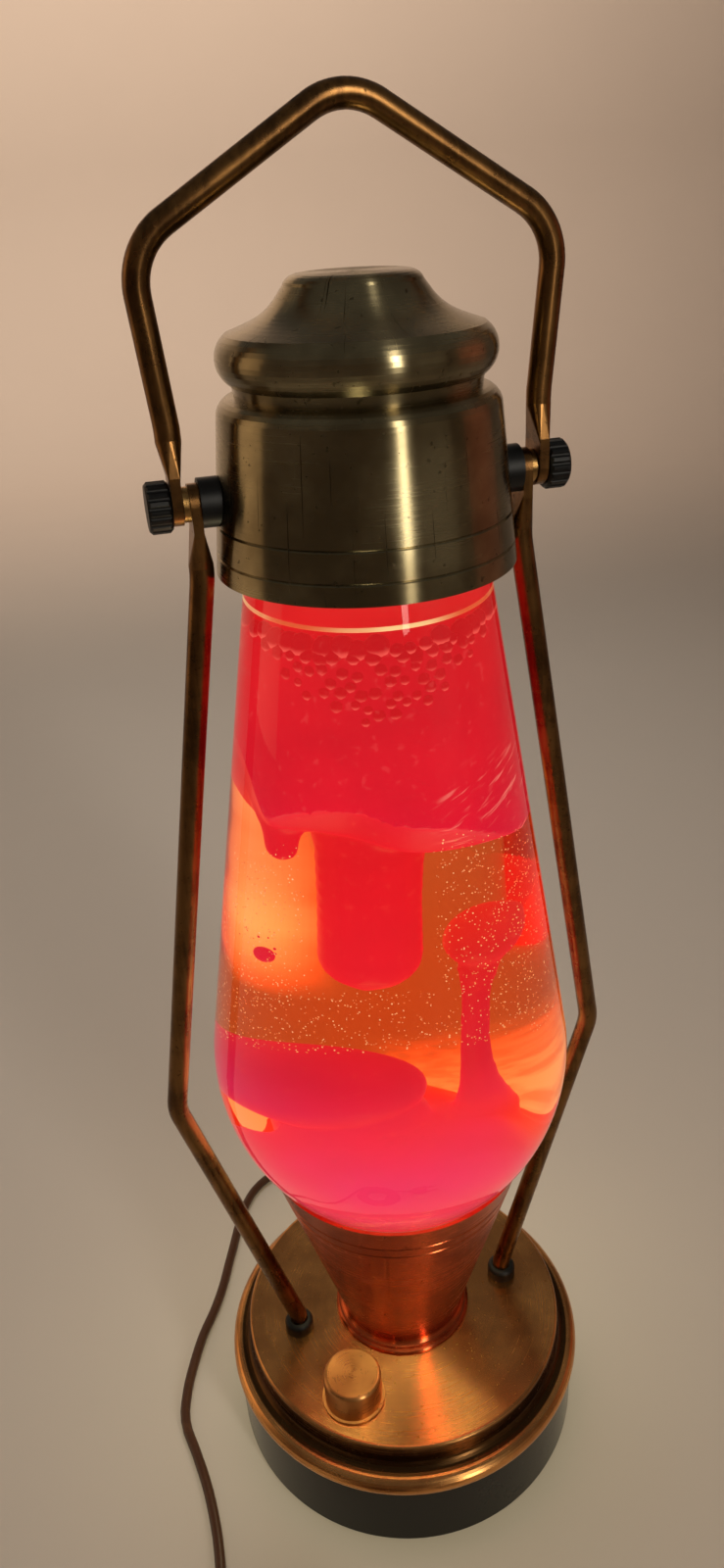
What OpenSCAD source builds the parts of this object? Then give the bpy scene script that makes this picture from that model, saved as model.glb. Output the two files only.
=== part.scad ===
// Lantern-style liquid motion lamp.
// A spun brass base on a black plinth carries a trumpet collar, a tapered glass globe of liquid
// and wax, a two-piece cap held by two bowed side rods, and a swinging bail handle.
// Frame: +Z up, origin on the table under the globe's axis, X along the handle's pivot axis.

/* [Base] */
// Radius of the black plinth
plinth_r = 60.5; // [56:0.1:66]
// Height of the plinth's wall
plinth_h = 25; // [22:0.5:36]
// Thickness of the plinth's wall
plinth_wall = 2; // [1.5:0.1:3]
// Height of the plinth's bottom edge above the table
plinth_lift = 1.5; // [1:0.1:3]
// Thickness of the bottom cover
cover_t = 2; // [1.5:0.1:3]
// Radius of a rubber foot
foot_r = 6; // [5:0.1:8]
// Distance of the feet's middles in from the plinth's outside
foot_inset = 16.5; // [12:0.5:22]
// Clear space between a tie screw's head and the plinth's wall
tie_clear = 1.5; // [1:0.1:2.5]
// Radius of a tie screw's shank
tie_r = 1.5; // [1.2:0.1:2]
// Overhang of the rolled rim beyond the plinth
rim_over = 1.5; // [1:0.1:3]
// Radius of the rim's rolled edge
rim_roll_r = 3.4; // [2.5:0.1:5]
// Radius of the cove between rim and disc
cove_r = 3.2; // [2:0.1:4]
// Height of the disc above the middle of the rolled edge
disc_rise = 12.4; // [9:0.1:18]
// Sheet thickness of the base plate
plate_t = 1.5; // [1:0.1:2]

/* [Collar] */
// Radius of the collar's cone where it leaves the foot
collar_foot_r = 21; // [20:0.1:24]
// Height of the collar above the disc
collar_h = 82.5; // [70:0.5:95]
// Outer radius of the collar's upper rim
collar_rim_r = 42.4; // [38:0.1:46]
// Wall of the collar
collar_t = 1.2; // [0.8:0.1:2]
// Radius of the bead round the collar's foot
collar_bead_r = 1.4; // [1:0.1:2]
// Distance of the first engraved line below the collar's rim
collar_line_1 = 9.6; // [6:0.1:12]
// Distance of the second engraved line below the collar's rim
collar_line_2 = 14.4; // [13:0.1:20]

/* [Lamp and dimmer] */
// Radius of the bulb's glass
bulb_r = 14.5; // [12:0.1:15]
// Length of the bulb's glass
bulb_h = 50; // [40:0.5:55]
// Radius of the bulb's screw shell
bulb_shell_r = 8.4; // [7:0.1:9.5]
// Outer radius of the lamp socket
socket_r = 12; // [11:0.1:14]
// Height of the lamp socket
socket_h = 26; // [22:0.5:28]
// Radius of the knob
knob_r = 9.5; // [9:0.1:12]
// Height of the knob
knob_h = 12.3; // [10:0.1:16]
// Distance of the knob's middle in from the disc's edge
knob_inset = 14.2; // [13:0.1:17]
// Direction of the knob from +X
knob_angle = 230; // [215:1:245]
// Radius of the dimmer's shaft
shaft_r = 3; // [2.5:0.1:3.2]

/* [Globe] */
// Largest radius of the globe
globe_r = 54.3; // [50:0.1:58]
// Radius of the bowl's curve below and around the widest place
bowl_r = 62; // [59:0.5:70]
// Radius of the flat bottom
globe_base_r = 26; // [22:0.5:29]
// Taper of the globe's upper part, from vertical
globe_taper = 9.2; // [7:0.1:10]
// Height from the widest place to the shoulder
globe_cone_h = 161; // [140:0.5:180]
// Radius of the shoulder's curve
shoulder_r = 8; // [6:0.5:10]
// Radius of the neck
neck_r = 13; // [11:0.1:14]
// Height of the neck above the shoulder's start
neck_h = 27; // [24:0.5:34]
// Thickness of the glass
glass_t = 2.4; // [1.8:0.1:3]
// Depth of the liquid's surface below the shoulder
ullage = 15; // [10:0.5:25]

/* [Wax] */
// Height of the settled wax above the glass bottom
pool_depth = 24.1; // [20:0.5:32]
// Half width of the swelling on the settled wax
mound_r = 21; // [16:0.5:24]
// Half depth of the swelling
mound_d = 15; // [12:0.5:18]
// Half height of the swelling, and of its middle above the pool
mound_h = 13; // [9:0.5:15]
// Radius of the rising stem
stem_r = 3; // [2.4:0.1:5]
// Radius of the rising bulb on the stem
riser_r = 7.9; // [6:0.1:9]
// Height of the rising bulb's middle above the pool
riser_up = 65.5; // [55:0.5:75]
// Radius of the hanging tongue
tongue_r = 10.8; // [9:0.1:14]
// Length of the tongue below the hanging mass
tongue_l = 49; // [40:0.5:60]
// Height of the hanging mass
mass_h = 62; // [50:0.5:75]
// Radius of the side lobe
lobe_r = 3.8; // [3:0.1:6]
// Radius of the free droplet
droplet_r = 2.1; // [2:0.1:4]

/* [Cap] */
// Radius of the cap's lower edge
cap_r = 37; // [35.5:0.1:40]
// Radius of the cap where its shoulder starts to turn in
cap_shoulder_r = 33.4; // [32.5:0.1:35]
// Height of the cap's skirt
cap_h = 40.5; // [38:0.5:48]
// Radius of the curve on the skirt's shoulder
cap_round = 4.5; // [3:0.1:6]
// Sheet thickness of the cap
cap_t = 1.3; // [1:0.1:1.8]
// Height of the first engraved line above the cap's lower edge
cap_line_1 = 4.9; // [3:0.1:7]
// Height of the second engraved line above the cap's lower edge
cap_line_2 = 12.1; // [9:0.1:13]
// Height of the hood above the skirt
hood_h = 24.7; // [21:0.1:30]
// Distance of the hood's foot in from the edge of the skirt's flat top
waist_inset = 0.1; // [0.1:0.1:1.5]
// Largest radius of the hood
brim_r = 32.4; // [31:0.1:34]
// Radius of the hood's flat crown
crown_r = 13.5; // [10:0.1:16]

/* [Rods and handle] */
// Diameter of the side rods
rod_d = 6; // [5:0.1:7]
// Distance of a rod's foot in from the disc's edge
rod_inset = 17.2; // [12:0.1:20]
// Clear space between the rods and the widest place of the globe
rod_clear = 10.2; // [6:0.1:14]
// Height of the rods' bend below the widest place
rod_bend_drop = 9; // [4:0.5:20]
// Radius of the rods' bend, to the middle of the rod
rod_bend_r = 16; // [10:0.5:24]
// Diameter of the handle's rod
handle_d = 6; // [5:0.1:7]
// Half width of the handle at its shoulders, to the middle of the rod
handle_half_w = 48.3; // [47.5:0.1:54]
// Height of the handle's shoulders above the pivot
handle_shoulder_up = 54; // [50:0.5:66]
// Height of the handle's peak above the pivot, where its two slopes meet
handle_peak_up = 83; // [76:0.5:96]
// Radius of the handle's bends, to the middle of the rod
handle_bend_r = 15; // [10:0.5:18]
// Height of the pivot above the cap's lower edge
pivot_up = 18.2; // [17:0.1:21]
// Thickness of the flattened rod ends
flat_t = 2.4; // [1.8:0.1:2.8]
// Radius of the flattened rod ends round the pivot
flat_r = 4.7; // [4:0.1:5.5]
// Distance that a pivot boss stands out beyond the cap's lower edge
boss_out = 2.6; // [2:0.1:4]
// Radius of a pivot boss
boss_r = 5.8; // [5:0.1:6.5]
// Radius of a thumb screw's shank
screw_r = 2; // [1.6:0.1:2.4]
// Radius of a thumb screw's head
screw_head_r = 6; // [5:0.1:7]
// Thickness of a thumb screw's head
screw_head_t = 5.5; // [4:0.1:7]
// Thickness of the washer between rod and handle
washer_t = 1.5; // [1:0.1:2.5]

/* [Cord] */
// Diameter of the cord
cord_d = 3.6; // [3.6:0.1:3.8]
// Length of the strain relief outside the plinth
relief_l = 22; // [20:0.5:30]
// Height of the strain relief's axis
relief_z = 10; // [9:0.1:12]
// Radius of the coil's innermost turn
coil_in_r = 14.6; // [14.4:0.1:16]
// Distance between neighbouring turns
coil_pitch = 4.8; // [4.8:0.1:5]
// Distance between layers of turns
coil_step = 4.2; // [4.2:0.1:4.5]

/* [Fits] */
// Gap of a running fit, on the radius
run_gap = 0.05; // [0.02:0.01:0.1]
// Gap between a fixed piece and its hole, on the radius
fit_gap = 0.1; // [0.05:0.01:0.2]
// Gap beside a moving piece
side_gap = 0.2; // [0.15:0.01:0.4]
// Gap between the globe's contents
wax_gap = 0.3; // [0.2:0.05:0.5]

/* [Hidden] */
$fn = 64;

// Heights, from the table up
plinth_top = plinth_lift + plinth_h;
rim_z = plinth_top + rim_roll_r;
disc_z = rim_z + disc_rise;
collar_top = disc_z + collar_h;
cover_recess = 1;
cover_z = plinth_lift + cover_recess;
cover_top = cover_z + cover_t;

// Base plate
rim_r = plinth_r + rim_over;
rim_flat = 0.2;
disc_r = rim_r - rim_roll_r - cove_r - rim_flat;
spigot_inset = 2.6;
plate_hole_r = collar_foot_r - spigot_inset;
flange_w = 7;
flange_in_r = disc_r - flange_w;
disc_edge_round = 1.2;
plinth_chamfer = 0.6;
foot_ring_r = plinth_r - foot_inset;
foot_round = 0.8;
tie_head_r = 2 * tie_r;
tie_head_h = 1.2;
tie_ring_r = plinth_r - plinth_wall - tie_head_r - tie_clear;
tie_post_wall = 2.2;
tie_post_r = tie_r + tie_post_wall;
tie_boss_h = 3;
tie_end = 2;
tie_angles = [60, 180, 300];
foot_angles = [45, 135, 225, 315];

// Collar
spigot_r = plate_hole_r - fit_gap;
spigot_t = 1.5;
spigot_depth = 5.5;
ring_h = spigot_depth - plate_t;
ring_w = 4;
ring_out_r = spigot_r + ring_w;
ring_notch_r = 1.5;
collar_cove_h = 6;
collar_cove_r = 2.4;
collar_cove_from = 245;
collar_step = 1.2;
line_w = 0.8;
line_depth = 0.35;

// Lamp
bracket_t = 1.2;
bracket_h = 9;
bracket_w = 16;
bracket_foot_l = 12;
bracket_gap = 3;
bracket_half = socket_r + bracket_gap;
bracket_screw_r = 1.5;
bracket_screw_head_h = 1;
bracket_screw_end = 2.5;
bracket_screw_x = bracket_half + bracket_foot_l / 2;
vent_r = 2;
vent_pitch = 10;
vent_gap = 8;
socket_z = cover_top + bracket_h;
socket_floor = 6;
socket_groove_z = 15.6;
socket_groove_h = 3;
socket_groove_depth = 1;
bulb_shell_h = 20;
bulb_contact_r = 3;
bulb_contact_h = 3;
bulb_thread_n = 6;
bulb_thread_depth = 0.5;
bulb_neck_l = 4;
bulb_swell_z = 15;
bulb_z = socket_z + socket_floor + bulb_shell_h;

// Dimmer and knob
knob_ring_r = disc_r - knob_inset;
dimmer_x = knob_ring_r * cos(knob_angle);
dimmer_y = knob_ring_r * sin(knob_angle);
dimmer_w = 17;
dimmer_h = 12;
dimmer_floor = 2;
bush_wall = 1.2;
bush_r = shaft_r + bush_wall;
bush_up = 5;
nut_h = 2.2;
nut_wall = 2.2;
nut_r = bush_r + nut_wall;
knob_gap = 0.5;
knob_wall = 1.6;
knob_flange_w = 0.9;
knob_flange_r = knob_r + knob_flange_w;
knob_flange_h = 1.3;
knob_round = 1.4;
knob_top_t = 2.4;
knob_hub_wall = 1.5;
knob_hub_r = shaft_r + knob_hub_wall;

// Globe: the bowl's centre lies on the level of the widest place
bowl_cx = globe_r - bowl_r;
seat_r = collar_rim_r - collar_t - fit_gap;
globe_mid_z = collar_top + sqrt(pow(bowl_r, 2) - pow(seat_r - bowl_cx, 2));
globe_base_z = globe_mid_z - sqrt(pow(bowl_r, 2) - pow(globe_base_r - bowl_cx, 2));
shoulder_z = globe_mid_z + globe_cone_h;
neck_top = shoulder_z + neck_h;
liquid_top = shoulder_z - ullage;
stopper_wall = 1.4;
stopper_skirt = 6;
stopper_top = neck_top + stopper_wall;
gasket_h = 4;
gasket_inset = 1;
shoulder_end = 70;
neck_root = 3;
cone_foot = [bowl_cx + bowl_r * cos(globe_taper), globe_mid_z + bowl_r * sin(globe_taper)];
shoulder_top_r = cone_foot[0] - (shoulder_z - cone_foot[1]) * tan(globe_taper);

// Cap
pad_t = 3;
pad_gap = 0.5;
cap_plate_z = stopper_top + pad_t;
cap_top = cap_plate_z + cap_t;
cap_z = cap_top - cap_h;
pivot_z = cap_z + pivot_up;
cap_neck_r = cap_shoulder_r - cap_round;
waist_r = cap_neck_r - waist_inset;
brim_roll = 6.4;
brim_up = 8;
brim_sag = 7.5;
brim_lean = 3;
brim_from = -60;
brim_to = 42;
brim_leave = 55;
crown_foot = 3.4;
crown_drop = 3.6;
crown_lean = 6.5;
hood_boss_r = 4;
hood_screw_r = 1.5;
hood_screw_head_r = 2 * hood_screw_r;
hood_screw_head_h = 1.8;
hood_screw_l = 12;

// Pivot stack along X, from the cap outward
boss_end = cap_r + boss_out;
rod_flat_x = boss_end + flat_t / 2;
washer_x = boss_end + flat_t;
handle_flat_x = washer_x + washer_t + side_gap + flat_t / 2;
head_x = handle_flat_x + flat_t / 2 + side_gap;
washer_inset = 0.6;
washer_r = flat_r - washer_inset;
pivot_nut_r = 3.8;
pivot_nut_t = 3;
cap_slope = (cap_r - cap_shoulder_r) / (cap_h - cap_round);
cap_pivot_r = cap_r - cap_slope * pivot_up;
nut_seat = sqrt(pow(cap_pivot_r - cap_t - cap_slope * pivot_nut_r, 2) - pow(pivot_nut_r, 2)) - fit_gap;
shank_past = 0.8;
shank_end = nut_seat - pivot_nut_t - shank_past;
hole_r = screw_r + fit_gap;
flat_len = 7;
weld_l = 0.5;
weld_r = 0.02;
flat_blend = 8;
flute_n = 18;
flute_r = 0.7;

// Rods
rod_foot_x = disc_r - rod_inset;
rod_bend_x = globe_r + rod_clear + rod_d / 2;
rod_bend_z = globe_mid_z - rod_bend_drop;
stud_r = 2.4;
stud_l = 9;
ferrule_wall = 1.9;
ferrule_r = rod_d / 2 + ferrule_wall;
ferrule_h = 4.6;
ferrule_round = 1.6;
rod_nut_h = 4;
rod_nut_r = 4.6;
rod_foot_up = 1.6;
rod_foot_bend_r = 7;
neck_bend_r = 24;
neck_straight = 2.4;
rod_neck_z = pivot_z - flat_len - flat_blend;
handle_neck_z = pivot_z + flat_len + flat_blend;

// Wax places, from the globe's axis, and the turn of the wax's broad way from X
wax_turn = -13.6;
mound_at = [-10.8, 15];
mound_foot_at = [-4.2, 14.4];
mound_foot_size = [15, 13, 14];
riser_at = [19.6, 3.5];
riser_long = 1.2;
stem_at = [19.6, 13.6];
stem_bend = [[18.6, 11, 22], [16.8, 5, 40]];
stem_foot_r = 7;
stem_foot_h = 14;
stem_sink = 6;
stem_sides = 20;
tongue_at = [-2.9, -0.3];
lobe_at = [-22.1, -2.8];
droplet_at = [-28.4, -3.1];
droplet_up = 71.1;
wax_film = 1.2;
pool_z = globe_base_z + glass_t + pool_depth;
mass_cover = 4;
mass_lip = 6;
lobe_root = 13;
lobe_drop = 4;

// Slopes of the wax: direction round the axis, distance from the axis where each starts, and angle
beach_slope = [16.8, 21, 45];
mass_slopes = [[180 + wax_turn, 21, 63], [270 + wax_turn, 10, 33], [90 + wax_turn, 14, 21],
    [180 + wax_turn, -12, 10]];
hollow_at = [-30.3, 27.9];
hollow_r = 15;
hollow_h = 19;
mass_top = liquid_top - mass_cover;
mass_z = mass_top - mass_h;

// Cord: the relief points to +Y, the cord rounds the base and ends in a coil in front of it
cord_r = cord_d / 2;
relief_wall = 2.8;
relief_r = cord_r + relief_wall;
relief_tip_wall = 0.9;
relief_tip_r = cord_r + relief_tip_wall;
relief_edge = 0.6;
relief_flange_w = 1.8;
relief_flange_r = relief_r + relief_flange_w;
relief_flange_t = 2;
relief_inner_l = 4;
relief_tip_y = plinth_r + relief_l;
coil_lift = 1;
coil_turns = 2.4375;
coil_layers = 4;
coil_out_r = coil_in_r + coil_pitch * coil_turns;
coil_x = -53;
coil_y = -106;
coil_low_z = cord_r + coil_lift;
coil_top_z = coil_low_z + (coil_layers - 1) * coil_step;
coil_rings = 24;
coil_sides = 6;
cord_sides = 8;
tie_w = 8;
tie_t = 0.8;
tie_gap = 0.15;
plug_l = 26;
plug_w = 19;
plug_h = 12;
plug_past = 34;
plug_x = coil_x + plug_past;
plug_tip = 7;
plug_tip_wall = 1.2;
plug_overlap = 4;
plug_waist = 1.5;
plug_flare = 2;
plug_y = coil_y - coil_out_r;
blade_l = 16;
blade_w = 6.3;
blade_t = 1.5;
blade_pitch = 12.7;
blade_root = 4;
blade_hole_r = 1.2;

// Route of the free cord on the table, from the strain relief's tip to the coil
cord_route = [
    [0, relief_tip_y, relief_z], [0, 87, relief_z], [0, 92, 9.6], [-3, 99, 8.2], [-9, 105, 6.2],
    [-18, 109, 4.2], [-28, 109, 2.6], [-37, 105, 2], [-44, 97, 1.9], [-49, 87, 1.9],
    [-53, 77, 1.9], [-57, 67, 1.9],
    [-61, 57, 1.9], [-66, 47, 1.9], [-72, 37, 1.9], [-77, 26, 1.9], [-81, 15, 1.9], [-83, 4, 1.9],
    [-81, -8, 1.9], [-79, -20, 1.9], [-78, -32, 1.9], [-78, -44, 1.9], [-79, -55, 2.2], [-80, -65, 3.6],
    [-80, -75, 6.4], [-80, -84, 10], [-79.8, -92, 13], [coil_x - coil_out_r, -99, coil_top_z],
    [coil_x - coil_out_r, coil_y + cord_d, coil_top_z]];

// Helpers: outlines
function arc(c, r, a0, a1, n = 10) =
    [for (i = [0:n]) let (a = a0 + (a1 - a0) * i / n) [c[0] + r * cos(a), c[1] + r * sin(a)]];
function bezier(p, n = 12) =
    [for (i = [0:n]) let (t = i / n, s = 1 - t)
        s * s * s * p[0] + 3 * s * s * t * p[1] + 3 * s * t * t * p[2] + t * t * t * p[3]];

// A notch cut by an engraving tool, as a ring for a wall of radius r at height z
module engraved_line(r, z) {
    translate([0, 0, z])
        rotate_extrude()
            polygon([[r - line_depth, 0], [r + 1, -line_w / 2 - 1], [r + 1, line_w / 2 + 1]]);
}

// Bent rod in the XZ plane through the corner points, with rounded corners
function heading(a, b) = atan2(b[1] - a[1], b[0] - a[0]);
function turn(a) = a > 180 ? a - 360 : (a < -180 ? a + 360 : a);
module bent_rod(p, d, bend) {
    n = len(p);
    h = [for (i = [0:n - 2]) heading(p[i], p[i + 1])];
    w = [for (i = [0:n - 1]) i == 0 || i == n - 1 ? 0 : turn(h[i] - h[i - 1])];
    t = [for (i = [0:n - 1]) bend[i] * tan(abs(w[i]) / 2)];
    rotate([90, 0, 0]) {
        for (i = [0:n - 2]) {
            start = t[i] - weld_l;
            translate([p[i][0] + start * cos(h[i]), p[i][1] + start * sin(h[i]), 0])
                rotate([0, 0, h[i]])
                    rotate([0, 90, 0])
                        cylinder(h = norm(p[i + 1] - p[i]) - t[i] - t[i + 1] + 2 * weld_l, d = d, $fn = 32);
        }
        for (i = [1:n - 2]) {
            side = w[i] > 0 ? 1 : -1;
            start = [p[i][0] - t[i] * cos(h[i - 1]), p[i][1] - t[i] * sin(h[i - 1])];
            reach = side * bend[i];
            translate([start[0] - reach * sin(h[i - 1]), start[1] + reach * cos(h[i - 1]), 0])
                rotate([0, 0, w[i] > 0 ? h[i - 1] - 90 : h[i - 1] + 90 + w[i]])
                    rotate_extrude(angle = abs(w[i]))
                        translate([bend[i], 0])
                            circle(r = d / 2 + weld_r, $fn = 32);
        }
    }
}

// Flattened rod end: an eye round the pivot that swells into the round rod, up or down (dir = 1 or -1)
module flattened_end(x, d, dir) {
    translate([x, 0, pivot_z])
        mirror([0, 0, dir > 0 ? 0 : 1]) {
            difference() {
                union() {
                    rotate([0, 90, 0])
                        cylinder(r = flat_r, h = flat_t, center = true);
                    translate([-flat_t / 2, -flat_r, 0])
                        cube([flat_t, 2 * flat_r, flat_len]);
                }
                rotate([0, 90, 0])
                    cylinder(r = screw_r + run_gap, h = flat_t + 1, center = true);
            }
            hull() {
                translate([weld_r - flat_t / 2, weld_r - flat_r, flat_len - 2 * weld_l])
                    cube([flat_t - 2 * weld_r, 2 * (flat_r - weld_r), weld_l]);
                translate([0, 0, flat_len + flat_blend - weld_l])
                    cylinder(r = d / 2 + weld_r, h = weld_l, $fn = 32);
            }
        }
}

// Tube of a given radius along a list of points
function unit(v) = v / norm(v);
function tangent(p, i) =
    i == 0 ? unit(p[1] - p[0]) : i == len(p) - 1 ? unit(p[i] - p[i - 1]) : unit(p[i + 1] - p[i - 1]);
module tube_along(p, r, sides) {
    n = len(p);
    pts = [for (i = [0:n - 1])
        let (t = tangent(p, i), u = unit(cross([0, 0, 1], t)), v = cross(t, u))
        for (k = [0:sides - 1]) let (a = 360 * (k + 0.5) / sides) p[i] + r * (cos(a) * u + sin(a) * v)];
    side_faces = [for (i = [0:n - 2], k = [0:sides - 1])
        let (a = i * sides + k, b = i * sides + (k + 1) % sides)
        each [[a, a + sides, b + sides], [a, b + sides, b]]];
    first_cap = [for (k = [1:sides - 2]) [0, k, k + 1]];
    last = (n - 1) * sides;
    last_cap = [for (k = [1:sides - 2]) [last, last + k + 1, last + k]];
    polyhedron(points = pts, faces = concat(side_faces, first_cap, last_cap), convexity = 10);
}

// Outline of the globe, moved inward by off
function bowl_level(off) = globe_base_z + off;
function globe_outline(off) =
    let (r = bowl_r - off, a0 = -asin((globe_mid_z - bowl_level(off)) / r),
        s = [shoulder_top_r - shoulder_r * cos(globe_taper), shoulder_z - shoulder_r * sin(globe_taper)])
    concat([[0, bowl_level(off)]],
        arc([bowl_cx, globe_mid_z], r, a0, globe_taper, 16),
        arc(s, shoulder_r - off, globe_taper, shoulder_end, 8),
        [[neck_r - off, s[1] + shoulder_r + neck_root - off], [neck_r - off, neck_top], [0, neck_top]]);
module globe_volume(off) {
    rotate_extrude($fn = 96)
        polygon(globe_outline(off));
}

// Base
module plinth_shell() {
    color("black")
        difference() {
            union() {
                rotate_extrude($fn = 96)
                    polygon([[plinth_r - plinth_wall, plinth_lift], [plinth_r - plinth_chamfer, plinth_lift],
                        [plinth_r, plinth_lift + plinth_chamfer], [plinth_r, plinth_top],
                        [plinth_r - plinth_wall, plinth_top]]);
                intersection() {
                    for (a = tie_angles)
                        rotate(a)
                            translate([tie_ring_r, 0, cover_top])
                                union() {
                                    cylinder(r = tie_post_r, h = plinth_top - cover_top);
                                    translate([0, -tie_post_r, 0])
                                        cube([plinth_r - tie_ring_r, 2 * tie_post_r, plinth_top - cover_top]);
                                }
                    cylinder(r = plinth_r - plinth_wall / 2, h = plinth_top);
                }
            }
            for (a = tie_angles)
                rotate(a)
                    translate([tie_ring_r, 0, 0])
                        cylinder(r = tie_r + fit_gap, h = plinth_top + 1);
            translate([0, plinth_r, relief_z])
                rotate([90, 0, 0])
                    cylinder(r = relief_r + fit_gap, h = 4 * plinth_wall, center = true);
        }
}

module bottom_cover() {
    color("dimgray")
        translate([0, 0, cover_z])
            difference() {
                cylinder(r = plinth_r - plinth_wall - fit_gap, h = cover_t);
                for (a = tie_angles)
                    rotate(a)
                        translate([tie_ring_r, 0, -1])
                            cylinder(r = tie_r + fit_gap, h = cover_t + 2);
                for (side = [-1, 1])
                    translate([side * bracket_screw_x, 0, -1])
                        cylinder(r = bracket_screw_r + fit_gap, h = cover_t + 2);
                for (side = [-1, 1], i = [-2:2])
                    translate([i * vent_pitch, side * (socket_r + vent_gap), -1])
                        cylinder(r = vent_r, h = cover_t + 2, $fn = 24);
            }
}

module foot(i) {
    color("#1a1a1a")
        rotate(foot_angles[i])
            translate([foot_ring_r, 0, 0])
                rotate_extrude()
                    polygon(concat([[0, 0]], arc([foot_r - foot_round, foot_round], foot_round, -90, 0, 4),
                        [[foot_r, cover_z], [0, cover_z]]));
}

module tie_screw(i) {
    color("silver")
        rotate(tie_angles[i])
            translate([tie_ring_r, 0, 0]) {
                translate([0, 0, cover_z - tie_head_h])
                    cylinder(r = tie_head_r, h = tie_head_h);
                translate([0, 0, cover_z])
                    cylinder(r = tie_r, h = plinth_top + plate_t + tie_end - cover_z);
            }
}

module base_plate() {
    inner = rim_roll_r - plate_t;
    roll = [rim_r - rim_roll_r, rim_z];
    outer_line = concat(
        [[plate_hole_r, disc_z]],
        arc([disc_r - disc_edge_round, disc_z - disc_edge_round], disc_edge_round, 90, 0, 4),
        arc([disc_r + cove_r, rim_z + rim_roll_r + cove_r], cove_r, 180, 270, 6),
        arc(roll, rim_roll_r, 90, -90, 12),
        [[flange_in_r, plinth_top]]);
    inner_line = concat(
        [[flange_in_r, plinth_top + plate_t]],
        arc(roll, inner, -90, 90, 8),
        [[disc_r - plate_t, rim_z + inner], [disc_r - plate_t, disc_z - plate_t],
            [plate_hole_r, disc_z - plate_t]]);
    color("#b08d57")
        difference() {
            union() {
                rotate_extrude($fn = 96)
                    polygon(concat(outer_line, inner_line));
                intersection() {
                    for (a = tie_angles)
                        rotate(a)
                            translate([tie_ring_r, 0, plinth_top + plate_t / 2])
                                cylinder(r = tie_post_r, h = plate_t / 2 + tie_boss_h);
                    cylinder(r = disc_r - plate_t / 2, h = disc_z);
                }
            }
            for (a = tie_angles)
                rotate(a)
                    translate([tie_ring_r, 0, plinth_top - 1])
                        cylinder(r = tie_r + fit_gap, h = plate_t + tie_boss_h + 2);
            for (side = [-1, 1])
                translate([side * rod_foot_x, 0, disc_z - plate_t - 1])
                    cylinder(r = stud_r + fit_gap, h = plate_t + 2);
            translate([dimmer_x, dimmer_y, disc_z - plate_t - 1])
                cylinder(r = bush_r + fit_gap, h = plate_t + 2);
        }
}

// Collar
function collar_wall_r(z) =
    collar_foot_r
        + (collar_rim_r - collar_foot_r) * (z - disc_z - collar_cove_h) / (collar_h - collar_cove_h);
module collar() {
    foot_r1 = collar_foot_r + collar_step;
    outer_line = concat(
        [[spigot_r, disc_z - spigot_depth], [spigot_r, disc_z], [foot_r1, disc_z]],
        arc([foot_r1, disc_z + collar_bead_r], collar_bead_r, -90, 90, 8),
        arc([collar_foot_r + collar_cove_r, disc_z + collar_cove_h], collar_cove_r, collar_cove_from, 180, 5),
        [[collar_rim_r, collar_top]]);
    inner_line = [[collar_rim_r - collar_t, collar_top], [collar_foot_r - collar_t, disc_z + collar_cove_h],
        [spigot_r - spigot_t, disc_z + collar_cove_h / 2], [spigot_r - spigot_t, disc_z - spigot_depth]];
    color("#b08d57")
        difference() {
            rotate_extrude($fn = 96)
                polygon(concat(outer_line, inner_line));
            for (d = [collar_line_1, collar_line_2])
                engraved_line(collar_wall_r(collar_top - d), collar_top - d);
        }
}

module collar_ring() {
    color("silver")
        translate([0, 0, disc_z - plate_t - ring_h])
            difference() {
                cylinder(r = ring_out_r, h = ring_h);
                translate([0, 0, -1])
                    cylinder(r = spigot_r + fit_gap, h = ring_h + 2);
                for (a = [0:60:300])
                    rotate(a)
                        translate([ring_out_r, 0, -1])
                            cylinder(r = ring_notch_r, h = ring_h + 2, $fn = 24);
            }
}

module globe_gasket() {
    top = collar_top - gasket_inset;
    low = top - gasket_h;
    glass_at = function (z) bowl_cx + sqrt(pow(bowl_r, 2) - pow(globe_mid_z - z, 2)) + fit_gap;
    color("#5a1a12")
        rotate_extrude($fn = 96)
            polygon(concat(
                [for (i = [0:4]) let (z = low + (top - low) * i / 4) [glass_at(z), z]],
                [[collar_wall_r(top) - collar_t - fit_gap, top],
                    [collar_wall_r(low) - collar_t - fit_gap, low]]));
}

// Lamp
module socket_bracket() {
    color("silver")
        translate([0, 0, cover_top])
            difference() {
                union() {
                    for (side = [-1, 1]) {
                        translate([side * bracket_screw_x - bracket_foot_l / 2, -bracket_w / 2, 0])
                            cube([bracket_foot_l, bracket_w, bracket_t]);
                        translate([side * (bracket_half - bracket_t / 2) - bracket_t / 2, -bracket_w / 2, 0])
                            cube([bracket_t, bracket_w, bracket_h]);
                    }
                    translate([-bracket_half, -bracket_w / 2, bracket_h - bracket_t])
                        cube([2 * bracket_half, bracket_w, bracket_t]);
                }
                for (side = [-1, 1])
                    translate([side * bracket_screw_x, 0, -1])
                        cylinder(r = bracket_screw_r + fit_gap, h = bracket_t + 2);
            }
}

module bracket_screw(side) {
    color("silver")
        translate([side * bracket_screw_x, 0, 0]) {
            translate([0, 0, cover_z - bracket_screw_head_h])
                cylinder(r = 2 * bracket_screw_r, h = bracket_screw_head_h);
            translate([0, 0, cover_z])
                cylinder(r = bracket_screw_r, h = cover_t + bracket_t + bracket_screw_end);
        }
}

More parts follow.
